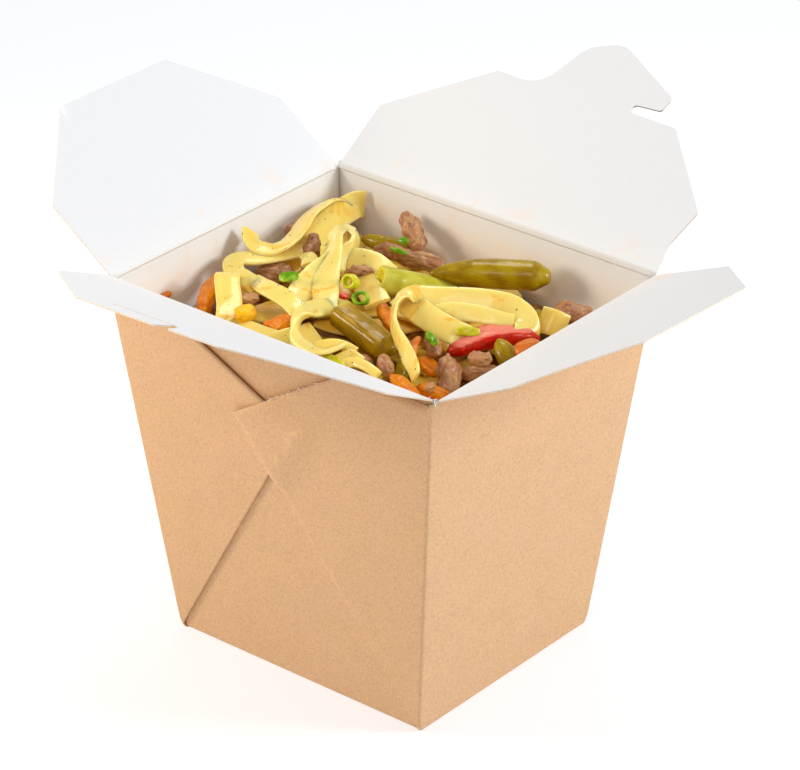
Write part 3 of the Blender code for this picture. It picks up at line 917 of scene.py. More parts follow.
@dataclass
class Strand:
    """A ribbon along a route. Each point is (x, y, z, azimuth, elevation), the last two its face's."""

    route: list[tuple[float, float, float, float, float]]
    width: float = 7.0
    thickness: float = 1.5
    # Colour depth of the noodle: partly random, partly painted shade for noodles that lie lower.
    tone: float = 0.2
    taper: tuple[float, float] = (1.0, 1.0)

    def fine(self, step: float = 1.1) -> tuple[np.ndarray, np.ndarray]:
        """Closely spaced points of a smooth curve through the route, with the face's direction at each.

        Args:
            step: Spacing in millimetres.

        Returns:
            Points in millimetres and unit vectors at right angles to the curve.
        """
        points = [Vector(entry[:3]) for entry in self.route]
        faces = []
        for entry in self.route:
            face = facing(*entry[3:])
            faces.append(-face if faces and face.dot(faces[-1]) < 0 else face)
        points = [2 * points[0] - points[1], *points, 2 * points[-1] - points[-2]]
        fine_points, fine_faces = [], []
        for i in range(len(self.route) - 1):
            a, b, c, d = points[i : i + 4]
            pieces = max(2, round((c - b).length / step))
            for k in range(pieces + (i == len(self.route) - 2)):
                t = k / pieces
                curve = 2 * b + (c - a) * t + (2 * a - 5 * b + 4 * c - d) * t**2
                curve += (3 * b - a - 3 * c + d) * t**3
                fine_points.append(curve * 0.5)
                fine_faces.append(faces[i].lerp(faces[i + 1], t))
        place = np.array([tuple(point) for point in fine_points])
        return place, square_to(place, np.array([tuple(face) for face in fine_faces]))


def square_to(points: np.ndarray, faces: np.ndarray) -> np.ndarray:
    """Turn each face's direction at right angles to the line through the points."""
    tangents = np.gradient(points, axis=0)
    tangents /= np.linalg.norm(tangents, axis=1, keepdims=True)
    faces = faces - tangents * np.sum(faces * tangents, axis=1, keepdims=True)
    return faces / np.linalg.norm(faces, axis=1, keepdims=True)


class Tree:
    """A Geometry Nodes tree under construction, with named inputs."""

    def __init__(self, name: str) -> None:
        """Start with the geometry going in and coming out."""
        self.group = bpy.data.node_groups.new(name, "GeometryNodeTree")
        self.group.interface.new_socket("Geometry", in_out="INPUT", socket_type="NodeSocketGeometry")
        self.group.interface.new_socket("Geometry", in_out="OUTPUT", socket_type="NodeSocketGeometry")
        self.source = self.group.nodes.new("NodeGroupInput")
        self.result = self.group.nodes.new("NodeGroupOutput")

    def given(self, name: str, kind: str, value: object = None) -> bpy.types.NodeSocket:
        """Add a named input with its default."""
        entry = self.group.interface.new_socket(name, in_out="INPUT", socket_type=f"NodeSocket{kind}")
        if value is not None:
            entry.default_value = value
        return self.source.outputs[name]

    def add(
        self, kind: str, inputs: dict[str | int, object], output: str | int = 0, **settings: object
    ) -> bpy.types.NodeSocket:
        """Add a node, set it up, feed it, and return one of its outputs."""
        node = self.group.nodes.new(kind)
        for key, value in settings.items():
            setattr(node, key, value)
        for key, value in inputs.items():
            socket = node.inputs[key]
            if isinstance(value, bpy.types.NodeSocket):
                self.group.links.new(value, socket)
            else:
                socket.default_value = value
        return node.outputs[output]

    def math(self, operation: str, first: object, second: object = 0.0) -> bpy.types.NodeSocket:
        """One Math node."""
        return self.add("ShaderNodeMath", {0: first, 1: second}, operation=operation)

    def end(self, geometry: bpy.types.NodeSocket, material: bpy.types.NodeSocket) -> None:
        """Realize what is instanced, set the material and give the result out."""
        real = self.add("GeometryNodeRealizeInstances", {"Geometry": geometry})
        done = self.add("GeometryNodeSetMaterial", {"Geometry": real, "Material": material})
        self.group.links.new(done, self.result.inputs[0])

    def run(self, obj: bpy.types.Object, **values: object) -> bpy.types.Object:
        """Apply the tree to an object.

        Args:
            obj: The object whose mesh goes in.
            **values: Inputs by name, with underscores for spaces.

        Returns:
            The same object with a plain mesh.
        """
        modifier = obj.modifiers.new(self.group.name, "NODES")
        modifier.node_group = self.group
        for entry in self.group.interface.items_tree:
            key = entry.name.replace(" ", "_")
            if entry.in_out == "INPUT" and key in values:
                modifier[entry.identifier] = values[key]
        return settle(obj)


def sweep_tree() -> Tree:
    """Tree that sweeps a flat section with round edges along polylines that carry their face's direction."""
    tree = Tree("ribbon_sweep")
    width = tree.given("Width", "Float", 7.0 * MM)
    thickness = tree.given("Thickness", "Float", 1.5 * MM)
    roundness = tree.given("Roundness", "Float", 0.5)
    sides = tree.given("Sides", "Int", 22)
    uneven = tree.given("Unevenness", "Float", 0.3 * MM)
    seed = tree.given("Seed", "Float", 1.0)
    material = tree.given("Material", "Material")

    circle = tree.add("GeometryNodeCurvePrimitiveCircle", {"Resolution": sides, "Radius": 1.0})
    place = tree.add("GeometryNodeInputPosition", {})
    split = tree.group.nodes.new("ShaderNodeSeparateXYZ")
    tree.group.links.new(place, split.inputs[0])
    sizes = []
    for output, size, power, half in ((0, width, 0.8, 0.5), (1, thickness, roundness, -0.5)):
        way = tree.math("SIGN", split.outputs[output])
        amount = tree.math("POWER", tree.math("ABSOLUTE", split.outputs[output]), power)
        sizes.append(tree.math("MULTIPLY", tree.math("MULTIPLY", way, amount), tree.math("MULTIPLY", size, half)))
    stored = {"Geometry": circle, "Name": "across", "Value": split.outputs[0]}
    section = tree.add("GeometryNodeStoreNamedAttribute", stored, data_type="FLOAT", domain="POINT")
    flat = tree.add("ShaderNodeCombineXYZ", {0: sizes[1], 1: sizes[0], 2: 0.0})
    section = tree.add("GeometryNodeSetPosition", {"Geometry": section, "Position": flat})

    line = tree.add("GeometryNodeMeshToCurve", {"Mesh": tree.source.outputs[0]})
    face = tree.add("GeometryNodeInputNamedAttribute", {"Name": "face"}, data_type="FLOAT_VECTOR")
    line = tree.add("GeometryNodeSetCurveNormal", {"Curve": line, "Normal": face}, mode="FREE")
    girth = tree.add("GeometryNodeInputNamedAttribute", {"Name": "girth"}, data_type="FLOAT")
    swept = {"Curve": line, "Profile Curve": section, "Scale": girth, "Fill Caps": True}
    ribbon = tree.add("GeometryNodeCurveToMesh", swept)

    ruffle = tree.add(
        "ShaderNodeTexNoise", {"W": seed, "Scale": 160.0, "Detail": 1.0}, 1, noise_dimensions="4D"
    )
    centred = tree.add("ShaderNodeVectorMath", {0: ruffle, 1: (0.5, 0.5, 0.5)}, operation="SUBTRACT")
    moved = tree.group.nodes.new("ShaderNodeVectorMath")
    moved.operation = "SCALE"
    tree.group.links.new(centred, moved.inputs[0])
    tree.group.links.new(uneven, moved.inputs["Scale"])
    ribbon = tree.add("GeometryNodeSetPosition", {"Geometry": ribbon, "Offset": moved.outputs[0]})
    ribbon = tree.add("GeometryNodeSetShadeSmooth", {"Geometry": ribbon, "Shade Smooth": True})
    tree.end(ribbon, material)
    return tree


def strand_lines(name: str, strands: Sequence[Strand]) -> bpy.types.Object:
    """One mesh of polylines, with the face's direction, girth and colour depth on each point; the depth is partly
    painted shade.
    """
    points, edges, faces, girths, tones = [], [], [], [], []
    for strand in strands:
        place, face = strand.fine()
        start = len(points)
        points.extend(place * MM)
        faces.extend(face)
        count = len(place)
        edges.extend((start + k, start + k + 1) for k in range(count - 1))
        girths.extend(spread(*strand.taper, count))
        tones.extend([strand.tone] * count)
    mesh = bpy.data.meshes.new(name)
    mesh.from_pydata([tuple(point) for point in points], edges, [])
    mesh.attributes.new("face", "FLOAT_VECTOR", "POINT").data.foreach_set("vector", np.ravel(faces))
    mesh.attributes.new("girth", "FLOAT", "POINT").data.foreach_set("value", girths)
    mesh.attributes.new("tone", "FLOAT", "POINT").data.foreach_set("value", tones)
    return new_object(name, mesh)


@dataclass
class Bed:
    """Height map of what already lies in the box, and of how high the noodles may come."""

    heap: bpy.types.Object
    half_x: float = 51.4
    half_y: float = 43.2
    floor: float = 83.0
    cell: float = 0.8
    hollows: tuple[tuple[float, float, float, float], ...] = ((40, 29, 11, 4.0), (34, -12, 9, 3.0))

    def __post_init__(self) -> None:
        """Read the top of the heap's solid onto a grid."""
        points = np.array([vert.co / MM for vert in self.heap.data.vertices])
        points = points[points[:, 2] > self.floor]
        xs = np.arange(-self.half_x, self.half_x, self.cell)
        ys = np.arange(-self.half_y, self.half_y, self.cell)
        self.grid_x, self.grid_y = np.meshgrid(xs, ys)
        self.ceiling = np.empty_like(self.grid_x)
        for row in range(len(ys)):
            near = np.hypot(points[None, :, 0] - xs[:, None], points[None, :, 1] - ys[row])
            self.ceiling[row] = points[np.argmin(near, axis=1), 2]
        for x, y, radius, depth in self.hollows:
            self.ceiling -= depth * (np.hypot(self.grid_x - x, self.grid_y - y) < radius)
        self.level = np.full_like(self.grid_x, self.floor)

    def window(self, x: float, y: float, radius: float) -> tuple[slice, slice]:
        """Rows and columns of the grid within a radius."""
        column, row = (x + self.half_x) / self.cell, (y + self.half_y) / self.cell
        reach = radius / self.cell
        rows = slice(max(0, int(row - reach)), int(row + reach) + 2)
        return rows, slice(max(0, int(column - reach)), int(column + reach) + 2)

    def highest(self, x: float, y: float, radius: float) -> float:
        """Highest level under a disc."""
        window = self.window(x, y, radius)
        near = np.hypot(self.grid_x[window] - x, self.grid_y[window] - y) <= radius
        return float(self.level[window][near].max()) if near.any() else self.floor

    def limit(self, x: float, y: float) -> float:
        """How high the noodles may come at a place."""
        row = int(np.clip((y + self.half_y) / self.cell, 0, self.ceiling.shape[0] - 1))
        column = int(np.clip((x + self.half_x) / self.cell, 0, self.ceiling.shape[1] - 1))
        return float(self.ceiling[row, column])

    def cover(self, x: float, y: float, top: float, radius: float) -> None:
        """Raise the level under a disc."""
        window = self.window(x, y, radius)
        near = np.hypot(self.grid_x[window] - x, self.grid_y[window] - y) <= radius
        self.level[window] = np.where(near, np.maximum(self.level[window], top), self.level[window])


@dataclass
class Filling:
    """Loose noodles laid one on another, each where the ones below hold it."""

    bed: Bed
    strands: int = 64
    tries: int = 700
    width: float = 6.8
    thickness: float = 1.5
    seed: int = 20

    def plan(self, chance: np.random.Generator) -> np.ndarray:
        """A smooth random line in plan, inside the walls."""
        room = np.array([self.bed.half_x - 4.2, self.bed.half_y - 4.2])
        count = 6
        start = chance.uniform(-room, room)
        heading = chance.uniform(0, 2 * math.pi)
        knots = [start]
        for _ in range(count - 1):
            heading += chance.normal(0, 0.75)
            stride = chance.uniform(12, 20) * np.array([math.cos(heading), math.sin(heading)])
            turned = knots[-1] + stride
            if (abs(turned) > room).any():
                heading += math.pi * 0.6
                turned = np.clip(turned, -room, room)
            knots.append(turned)
        knots = np.array([knots[0], *knots, knots[-1]])
        line = []
        for i in range(len(knots) - 3):
            for t in np.arange(0, 1, 0.09):
                weights = np.array([(1 - t) ** 3, 3 * t**3 - 6 * t**2 + 4, -3 * t**3 + 3 * t**2 + 3 * t + 1, t**3])
                line.append(weights @ knots[i : i + 4] / 6)
        return np.array(line)

    def drape(self, line: np.ndarray) -> np.ndarray:
        """Heights of a ribbon along its plan, resting on what is below and sagging between."""
        under = np.array([self.bed.highest(x, y, self.width * 0.42) for x, y in line]) + self.thickness / 2
        height = under.copy()
        for _ in range(260):
            middle = 0.5 * (height[:-2] + height[2:]) - 0.012
            height[1:-1] = np.maximum(under[1:-1], middle)
            height[0] = max(under[0], height[1] - 0.25)
            height[-1] = max(under[-1], height[-2] - 0.25)
        return height

    def tilt(self, line: np.ndarray, heights: np.ndarray) -> np.ndarray:
        """Direction of the ribbon's face, leaning with the ground on its two sides."""
        ahead = np.gradient(line, axis=0)
        ahead /= np.linalg.norm(ahead, axis=1, keepdims=True)
        across = np.stack([-ahead[:, 1], ahead[:, 0]], axis=1)
        faces = []
        for (x, y), side, _ in zip(line, across, heights):
            left = self.bed.highest(x + side[0] * 2.6, y + side[1] * 2.6, 1.2)
            right = self.bed.highest(x - side[0] * 2.6, y - side[1] * 2.6, 1.2)
            lean = max(-0.5, min(0.5, (right - left) / 5.2 * 0.6))
            faces.append((side[0] * lean, side[1] * lean, 1.0))
        faces = np.array(faces)
        kernel = np.ones(7) / 7
        for k in range(2):
            faces[:, k] = np.convolve(np.pad(faces[:, k], 3, mode="edge"), kernel, mode="valid")
        return faces

    def lay(self) -> list[Strand]:
        """Lay the strands, leaving out each that would come too high."""
        chance = np.random.default_rng(self.seed)
        laid = []
        for _ in range(self.tries):
            line = self.plan(chance)
            heights = self.drape(line)
            limits = np.array([self.bed.limit(x, y) for x, y in line])
            over = heights + self.thickness / 2 - limits
            if over.max() > 0.9 or over.mean() > -0.3:
                continue
            faces = self.tilt(line, heights)
            for (x, y), z in zip(line, heights):
                self.bed.cover(x, y, z + self.thickness / 2, self.width * 0.48)
            # The loose noodles lie below the shown ones and get deeper tones: partly random, partly painted shade.
            strand = Strand([], self.width, self.thickness, tone=float(chance.uniform(0.45, 1.3)))
            strand.fine = FixedLine(np.column_stack([line, heights]), faces)
            laid.append(strand)
            if len(laid) == self.strands:
                break
        return laid


@dataclass
class FixedLine:
    """A line whose points are already close together."""

    points: np.ndarray
    faces: np.ndarray

    def __call__(self, step: float = 1.1) -> tuple[np.ndarray, np.ndarray]:
        """The points and the directions of the ribbon's face."""
        return self.points, square_to(self.points, self.faces)


SHOWN_NOODLES = [
    Strand(
        [
            (-43.5, 39, 95.4, 165, 58), (-45.5, 37, 96.4, 165, 60), (-46.5, 33, 97.4, 165, 60), (-45.5, 27, 97.8, 165, 60),
            (-44, 21, 97.5, 165, 62), (-41.5, 15, 97, 165, 64), (-40, 9.5, 96.6, 160, 70), (-40.4, 5.5, 96.2, 120, 80),
            (-42, 2.6, 96.2, 10, 62), (-44.6, 1.8, 96.8, 0, 40), (-47.2, 2.8, 97.8, -8, 26), (-48.6, 4.4, 98.8, -10, 20),
        ],
        width=5.6, tone=0.55,
    ),
    Strand(
        [
            (-41, 41.5, 95.4, -75, 22), (-42, 39.5, 95.8, -70, 24), (-42, 35.5, 95.8, -62, 26),
            (-42, 31, 95.2, -58, 30), (-41, 25, 94.8, -55, 34), (-39.5, 18.5, 94.4, -50, 40), (-38, 13, 94, -50, 45),
        ],
        width=7.4, tone=0.4,
    ),
    Strand(
        [
            (-36.5, 12.5, 94, -60, 70), (-38.5, 8, 94.6, -60, 74), (-40, 2.5, 95, -60, 78), (-42, -1.5, 95.2, -60, 80),
            (-44.6, -4, 95.4, -60, 82), (-44.5, -7, 95.4, -60, 82), (-41, -10.5, 95.2, -60, 78),
            (-36.5, -12, 95.2, -60, 74), (-33, -13, 95.2, -60, 74), (-29.5, -14, 94.8, -60, 74),
        ],
        width=5.6, tone=0.4,
    ),
    Strand(
        [
            (-39.2, -14.6, 95.2, 130, 60), (-38.6, -15.6, 97, 150, 80), (-37.2, -17.6, 97.8, -55, 60),
            (-34, -21, 96.8, -50, 34), (-29.5, -25.5, 95, -50, 28), (-26.5, -29.5, 93.4, -50, 30),
            (-25, -32, 91, -50, 30),
        ],
        width=6.6, tone=0.45,
    ),
    Strand(
        [
            (-8, -13, 94, -55, 45), (-12, -8.5, 95.5, -58, 44), (-17, -2.5, 96.6, -62, 42), (-21, 3.5, 97.6, -74, 34),
            (-24.5, 9, 99, -90, 24), (-27, 13, 100.2, -112, 24), (-28.8, 16.2, 100.9, -150, 52),
            (-28.3, 18.8, 100.9, 130, 78), (-26, 19, 100.2, 62, 40), (-24, 17.5, 99, 30, 4),
            (-23, 15, 97.6, 14, -2), (-22.6, 11, 96.6, -20, 20), (-23, 6, 96.2, -42, 40), (-22.5, 0, 96, -48, 46),
            (-20.5, -6.5, 95.8, -50, 48), (-19, -11.5, 95, -50, 48), (-17.5, -15, 94, -50, 48),
        ],
        width=6.8, tone=0.1,
    ),
    Strand(
        [
            (-24, 9.5, 94, -50, 50), (-22.5, 11.5, 95.4, -50, 50), (-20, 13.5, 96.2, -50, 50),
            (-16, 14.5, 96.2, -45, 50), (-12, 14, 95.6, -40, 50), (-8.5, 13.5, 94, -30, 50),
        ],
        width=6.4, tone=0.1,
    ),
    Strand(
        [(-20.5, 13, 93, -50, 40), (-13.5, 8, 94, -50, 40), (-8, 4.5, 94, -50, 44), (-3.5, 2, 93, -50, 48)],
        tone=0.35,
    ),
    Strand(
        [
            (-35.5, -10.5, 94.4, -60, 66), (-31, -12.6, 95.6, -60, 66), (-25.5, -14.6, 96.6, -60, 64),
            (-20, -16.2, 97, -60, 64), (-14.5, -18, 96.8, -60, 66), (-10.5, -19, 95.5, -60, 70),
        ],
        width=5.2, tone=0.3,
    ),
    Strand(
        [(-27, -29, 92, -50, 60), (-18.5, -30.5, 92.8, -50, 60), (-12, -31, 93, -50, 60), (-4.5, -29.5, 92, -50, 60)],
        tone=0.2,
    ),
    Strand(
        [(-10, -33, 92, -60, 45), (-8, -30.5, 93, -60, 45), (-6, -26, 93.3, -60, 45), (-5, -20.5, 93, -60, 50)],
        tone=0.3,
    ),
    Strand(
        [
            (-8.5, -4, 94, -60, 74), (-9, -9.5, 95, -58, 66), (-9.5, -14.5, 96.2, -58, 60), (-8.5, -20, 97.2, -72, 42),
            (-6, -26, 97.8, -90, 14), (-2.5, -30, 97.6, -84, -22), (1.5, -33, 97, -56, -60), (5, -33.5, 96.6, -50, -72),
            (8, -32.5, 96.8, -30, -66), (10, -30, 97.4, 10, -50), (11, -28, 98.2, 20, -40),
        ],
        width=6.4, tone=0.1,
    ),
    Strand(
        [
            (36.9, 10.6, 93, -22, 14), (36.4, 12.6, 94.6, -26, 24), (34.2, 14.4, 96.3, -38, 36),
            (30, 14.6, 97.7, -50, 40), (25, 13, 98.3, -50, 40), (20, 10.5, 98.6, -50, 40), (15, 7, 98.9, -50, 42),
            (11, 4, 99.2, -54, 50), (7.5, 2, 99.3, -84, 60), (6.6, -1, 98.9, -118, 34), (8, -5, 98.2, -128, 18),
            (12, -10.5, 97.6, -131, 10), (17, -15, 97.2, -124, 10), (22, -18.5, 97, -98, 22),
            (26, -21.5, 96.6, -84, 28), (29.5, -24, 96, -90, 20), (32, -26, 95, -100, 12),
        ],
        width=6.6, tone=0.1, taper=(1.06, 0.62),
    ),
    Strand(
        [
            (3, 3.5, 96.6, -50, 42), (9, 0.5, 97, -50, 42), (15, -1.5, 96.9, -50, 42), (20.5, -2.5, 96.5, -50, 42),
            (25, -2, 95.6, -48, 42), (27.5, 0, 94, -45, 42),
        ],
        width=6.8, tone=0.1,
    ),
    Strand(
        [
            (16.8, 1.4, 96.6, -50, 42), (18.6, 2.4, 97.4, -50, 42), (21.5, 4.2, 97.8, -50, 42),
            (25.5, 6.2, 97.8, -50, 42), (29.5, 8, 97.4, -50, 42), (33.5, 11, 96.6, -50, 42),
        ],
        width=6.0, tone=0.0, taper=(1.0, 0.55),
    ),
    Strand(
        [
            (2.4, -31.8, 95, -50, 45), (4.4, -29.9, 96.2, -50, 45), (6.9, -27.9, 96.8, -50, 45),
            (9.9, -26.4, 96.5, -50, 45), (12.4, -25.6, 95.4, -50, 45),
        ],
        width=2.6, tone=0.3,
    ),
    Strand(
        [(11, -33, 94.8, -50, 45), (12.4, -31.2, 96, -50, 45), (13.6, -28.9, 96.5, -50, 45), (17.2, -29.3, 96, -50, 45)],
        width=2.6, tone=0.4,
    ),
    Strand(
        [(14, -32.8, 95, -50, 45), (15.8, -31.2, 96, -50, 45), (19.5, -30.9, 96.3, -50, 45), (24.5, -31.6, 95.4, -50, 45)],
        width=2.6, tone=0.2,
    ),
    Strand([(40, 24, 91.5, -50, 40), (37.5, 21.5, 93.4, -50, 40), (34.5, 20.5, 93.6, -50, 40)], tone=0.5),
    Strand([(-35, 9, 94.4, -50, 50), (-31, 7, 95.8, -50, 44), (-28, 4.5, 95.6, -50, 40)], 5.4, tone=0.0, taper=(0.4, 1.0)),
    Strand([(-28.5, 9, 97.2, -60, 50), (-26, 10.5, 97.6, -60, 50), (-24, 11.5, 97.2, -60, 50)], 3.4, tone=0.3),
]


@dataclass
class Noodles:
    """All the noodles over a low core."""

    frame: dict
    material: bpy.types.Material
    # Dark finish of the core: painted shade in the gaps between the noodles.
    sauce: bpy.types.Material
    core_drop: float = 8.0
    press_from: float = 100.8  # height above which the lid presses the loops flat, in mm
    press: float = 0.42  # what is left of the height above that

    def under_lid(self, mesh: bpy.types.Mesh) -> None:
        """Press the highest loops down, so that the flaps close over them."""
        for vert in mesh.vertices:
            above = vert.co.z / MM - self.press_from
            if above > 0:
                vert.co.z = (self.press_from + above * self.press) * MM

    def core(self) -> bpy.types.Object:
        """The heap's solid, let down under the loose noodles, in the dark finish that paints the shade in the gaps."""
        builder = bmesh.new()
        builder.from_mesh(self.frame["nodes"]["noodle_heap"].data)
        bmesh.ops.remove_doubles(builder, verts=builder.verts, dist=1e-6)
        for vert in builder.verts:
            if vert.co.z > 50 * MM:
                vert.co.z -= self.core_drop * MM
                vert.co.x *= 0.97
                vert.co.y *= 0.97
        mesh = bpy.data.meshes.new("noodle_core")
        builder.to_mesh(mesh)
        builder.free()
        return new_object("noodle_core", mesh, self.sauce)

    def make(self) -> list[bpy.types.Object]:
        """Build the core, the loose noodles and the ones on top."""
        tree = sweep_tree()
        shared = dict(Material=self.material, Thickness=1.35 * MM, Unevenness=0.55 * MM)
        core = self.core()
        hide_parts("noodle_heap")
        laid = Filling(Bed(self.frame["nodes"]["noodle_heap"])).lay()
        LOG.info("%d loose noodles", len(laid))
        loose = tree.run(strand_lines("noodles_loose", laid), Width=6.8 * MM, Seed=3.0, Sides=16, **shared)
        tops = []
        for i, width in enumerate(sorted({strand.width for strand in SHOWN_NOODLES})):
            alike = [strand for strand in SHOWN_NOODLES if strand.width == width]
            lines = strand_lines("noodles_top", alike)
            tops.append(tree.run(lines, Width=width * MM, Seed=5.0 + i, Sides=26, **shared))
        top = join("noodles_top_layer", tops)
        self.under_lid(top.data)
        pieces = [core, loose, top]
        for piece in pieces:
            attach(piece, "root")
        return pieces


# ---- Vegetables and meat -----------------------------------------------------------------------------


class Cut(Enum):
    """How the ends of a piece are."""

    PLAIN = "plain"
    HOLLOW = "hollow"


@dataclass
class Morsel:
    """Fine surface of one vegetable or meat piece, over its solid."""

    node: str
    finish: str
    slot: str
    cell: float = 0.42  # size of the surface mesh, in mm
    smooth: int = 6
    lumps: float = 0.25  # depth of the broad unevenness
    lump_size: float = 4.0
    fibres: float = 0.0  # depth of the furrows along the piece
    fibre_size: float = 1.2
    end: Cut = Cut.PLAIN
    girth: tuple[float, float] = (1.0, 1.0)  # widening over the solid, across its two short axes

    def grain(self, points: np.ndarray) -> np.ndarray:
        """Coordinates along the piece's length, width and height, in millimetres."""
        centred = points - points.mean(axis=0)
        _, _, axes = np.linalg.svd(centred[:: max(1, len(centred) // 4000)], full_matrices=False)
        return centred @ axes.T

    def furrow(self, place: np.ndarray, seed: float) -> float:
        """Depth of the furrows at a place in the piece's own coordinates, from 0 to 1."""
        point = Vector((place[0] * 0.16 + seed, place[1], place[2])) / self.fibre_size
        bent = point + 0.6 * noise.noise_vector(point * 0.35)
        return 1 - min(1.0, 2.2 * abs(noise.noise(bent)))

    def make(self, frame: dict, pantry: Pantry, index: int) -> bpy.types.Object:
        """Build the piece in its node's place."""
        builder = bmesh.new()
        builder.from_mesh(frame["nodes"][self.node].data)
        bmesh.ops.remove_doubles(builder, verts=builder.verts, dist=1e-6)
        mesh = bpy.data.meshes.new(self.node)
        builder.to_mesh(mesh)
        builder.free()
        obj = new_object(self.node + "_fine", mesh)
        remesh = obj.modifiers.new("even", "REMESH")
        remesh.mode = "VOXEL"
        remesh.voxel_size = self.cell * MM
        relax = obj.modifiers.new("relax", "SMOOTH")
        relax.factor = 0.6
        relax.iterations = self.smooth
        settle(obj)
        self.shape(obj.data, index * 7.3)
        obj.data.materials.clear()
        obj.data.materials.append(pantry[self.finish])
        obj.data.shade_smooth()
        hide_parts(self.node)
        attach(obj, "root")
        return obj

    def shape(self, mesh: bpy.types.Mesh, seed: float) -> None:
        """Move the surface in and out, and store its grain and its hollows."""
        count = len(mesh.vertices)
        points = np.empty(count * 3)
        mesh.vertices.foreach_get("co", points)
        points = points.reshape(-1, 3) / MM
        grain = self.grain(points)
        axes = np.linalg.lstsq(grain, points - points.mean(axis=0), rcond=None)[0]
        for index, factor in enumerate(self.girth, start=1):
            points = points + np.outer(grain[:, index] * (factor - 1), axes[index])
        normals = np.empty(count * 3)
        mesh.vertices.foreach_get("normal", normals)
        normals = normals.reshape(-1, 3)
        hollow = np.zeros(count)
        cut = np.zeros(count)
        moved = np.empty_like(points)
        length = np.abs(grain[:, 0]).max()
        for i in range(count):
            place = Vector(points[i]) / self.lump_size + Vector((seed, 0, 0))
            depth = self.lumps * noise.fractal(place, 0.9, 2.0, 3)
            if self.fibres:
                hollow[i] = self.furrow(grain[i], seed) ** 2
                depth -= self.fibres * hollow[i]
            moved[i] = points[i] + normals[i] * (depth + 0.12)
        if self.end is Cut.HOLLOW:
            moved, cut = self.hollow_ends(moved, grain, length)
        mesh.vertices.foreach_set("co", (moved * MM).ravel())
        stored = mesh.attributes.new("grain", "FLOAT_VECTOR", "POINT")
        stored.data.foreach_set("vector", (grain * MM).ravel())
        mesh.attributes.new("hollow", "FLOAT", "POINT").data.foreach_set("value", hollow)
        mesh.attributes.new("cut", "FLOAT", "POINT").data.foreach_set("value", cut)
        mesh.update()

    def hollow_ends(
        self, points: np.ndarray, grain: np.ndarray, length: float
    ) -> tuple[np.ndarray, np.ndarray]:
        """Sink the middle of the flattest cut end and mark it."""
        axis = np.linalg.lstsq(grain, points - points.mean(axis=0), rcond=None)[0][0]
        radius = np.hypot(grain[:, 1], grain[:, 2])
        rim = np.percentile(radius, 80)
        cut = np.zeros(len(points))
        ends = [way * grain[:, 0] for way in (-1, 1)]
        flattest = int(np.argmax([(end > end.max() - 0.7).sum() for end in ends]))
        for way, end in ((2 * flattest - 1, ends[flattest]),):
            near = np.clip((end - (end.max() - 1.3)) / 0.8, 0, 1)
            middle = np.clip(1 - (radius / (rim * 0.62)) ** 2, 0, 1)
            points = points - way * np.outer(near * middle * 1.7, axis)
            cut = np.maximum(cut, near * np.clip((rim * 0.95 - radius) / 0.5, 0, 1))
        return points, cut


def morsels() -> list[Morsel]:
    """Every piece that lies in the noodles, by its node."""
    pieces = []
    for name in ("back", "tip", "dark", "under", "shadow"):
        pieces.append(Morsel("bean_" + name, "bean_olive", "green_bean", lumps=0.22, lump_size=5.0))
    long = Morsel("bean_long", "bean_olive", "green_bean", smooth=9, lumps=0.12, lump_size=6.0, girth=(1.08, 1.16))
    light = Morsel("bean_light", "bean_fresh", "green_bean", lumps=0.12, smooth=4, end=Cut.HOLLOW, girth=(1.15, 1.2))
    cut = Morsel("bean_cut", "bean_waxy", "green_bean", lumps=0.06, smooth=4, end=Cut.HOLLOW, girth=(1.08, 1.12))
    pieces += [long, light, cut]
    meats = ("upright", "back", "left", "stem", "corner", "right", "point", "front", "lobes", "purple", "side")
    for name in meats:
        pieces.append(
            Morsel("meat_" + name, "beef_seared", "beef", 0.34, 4, lumps=0.8, lump_size=3.4, fibres=0.18, fibre_size=1.4)
        )
    for name in ("crescent", "centre", "stick", "front", "corner", "side"):
        pieces.append(Morsel("carrot_" + name, "carrot_flesh", "carrot", 0.36, 3, 0.3, 2.4, 0.12, 0.9))
    pieces.append(Morsel("pepper_red", "pepper_skin", "red_pepper", 0.36, 9, 0.15, 3.5, girth=(1.3, 1.6)))
    return pieces


class Form(Enum):
    """Shape of a small piece."""

    CHUNK = "chunk"
    RING = "ring"


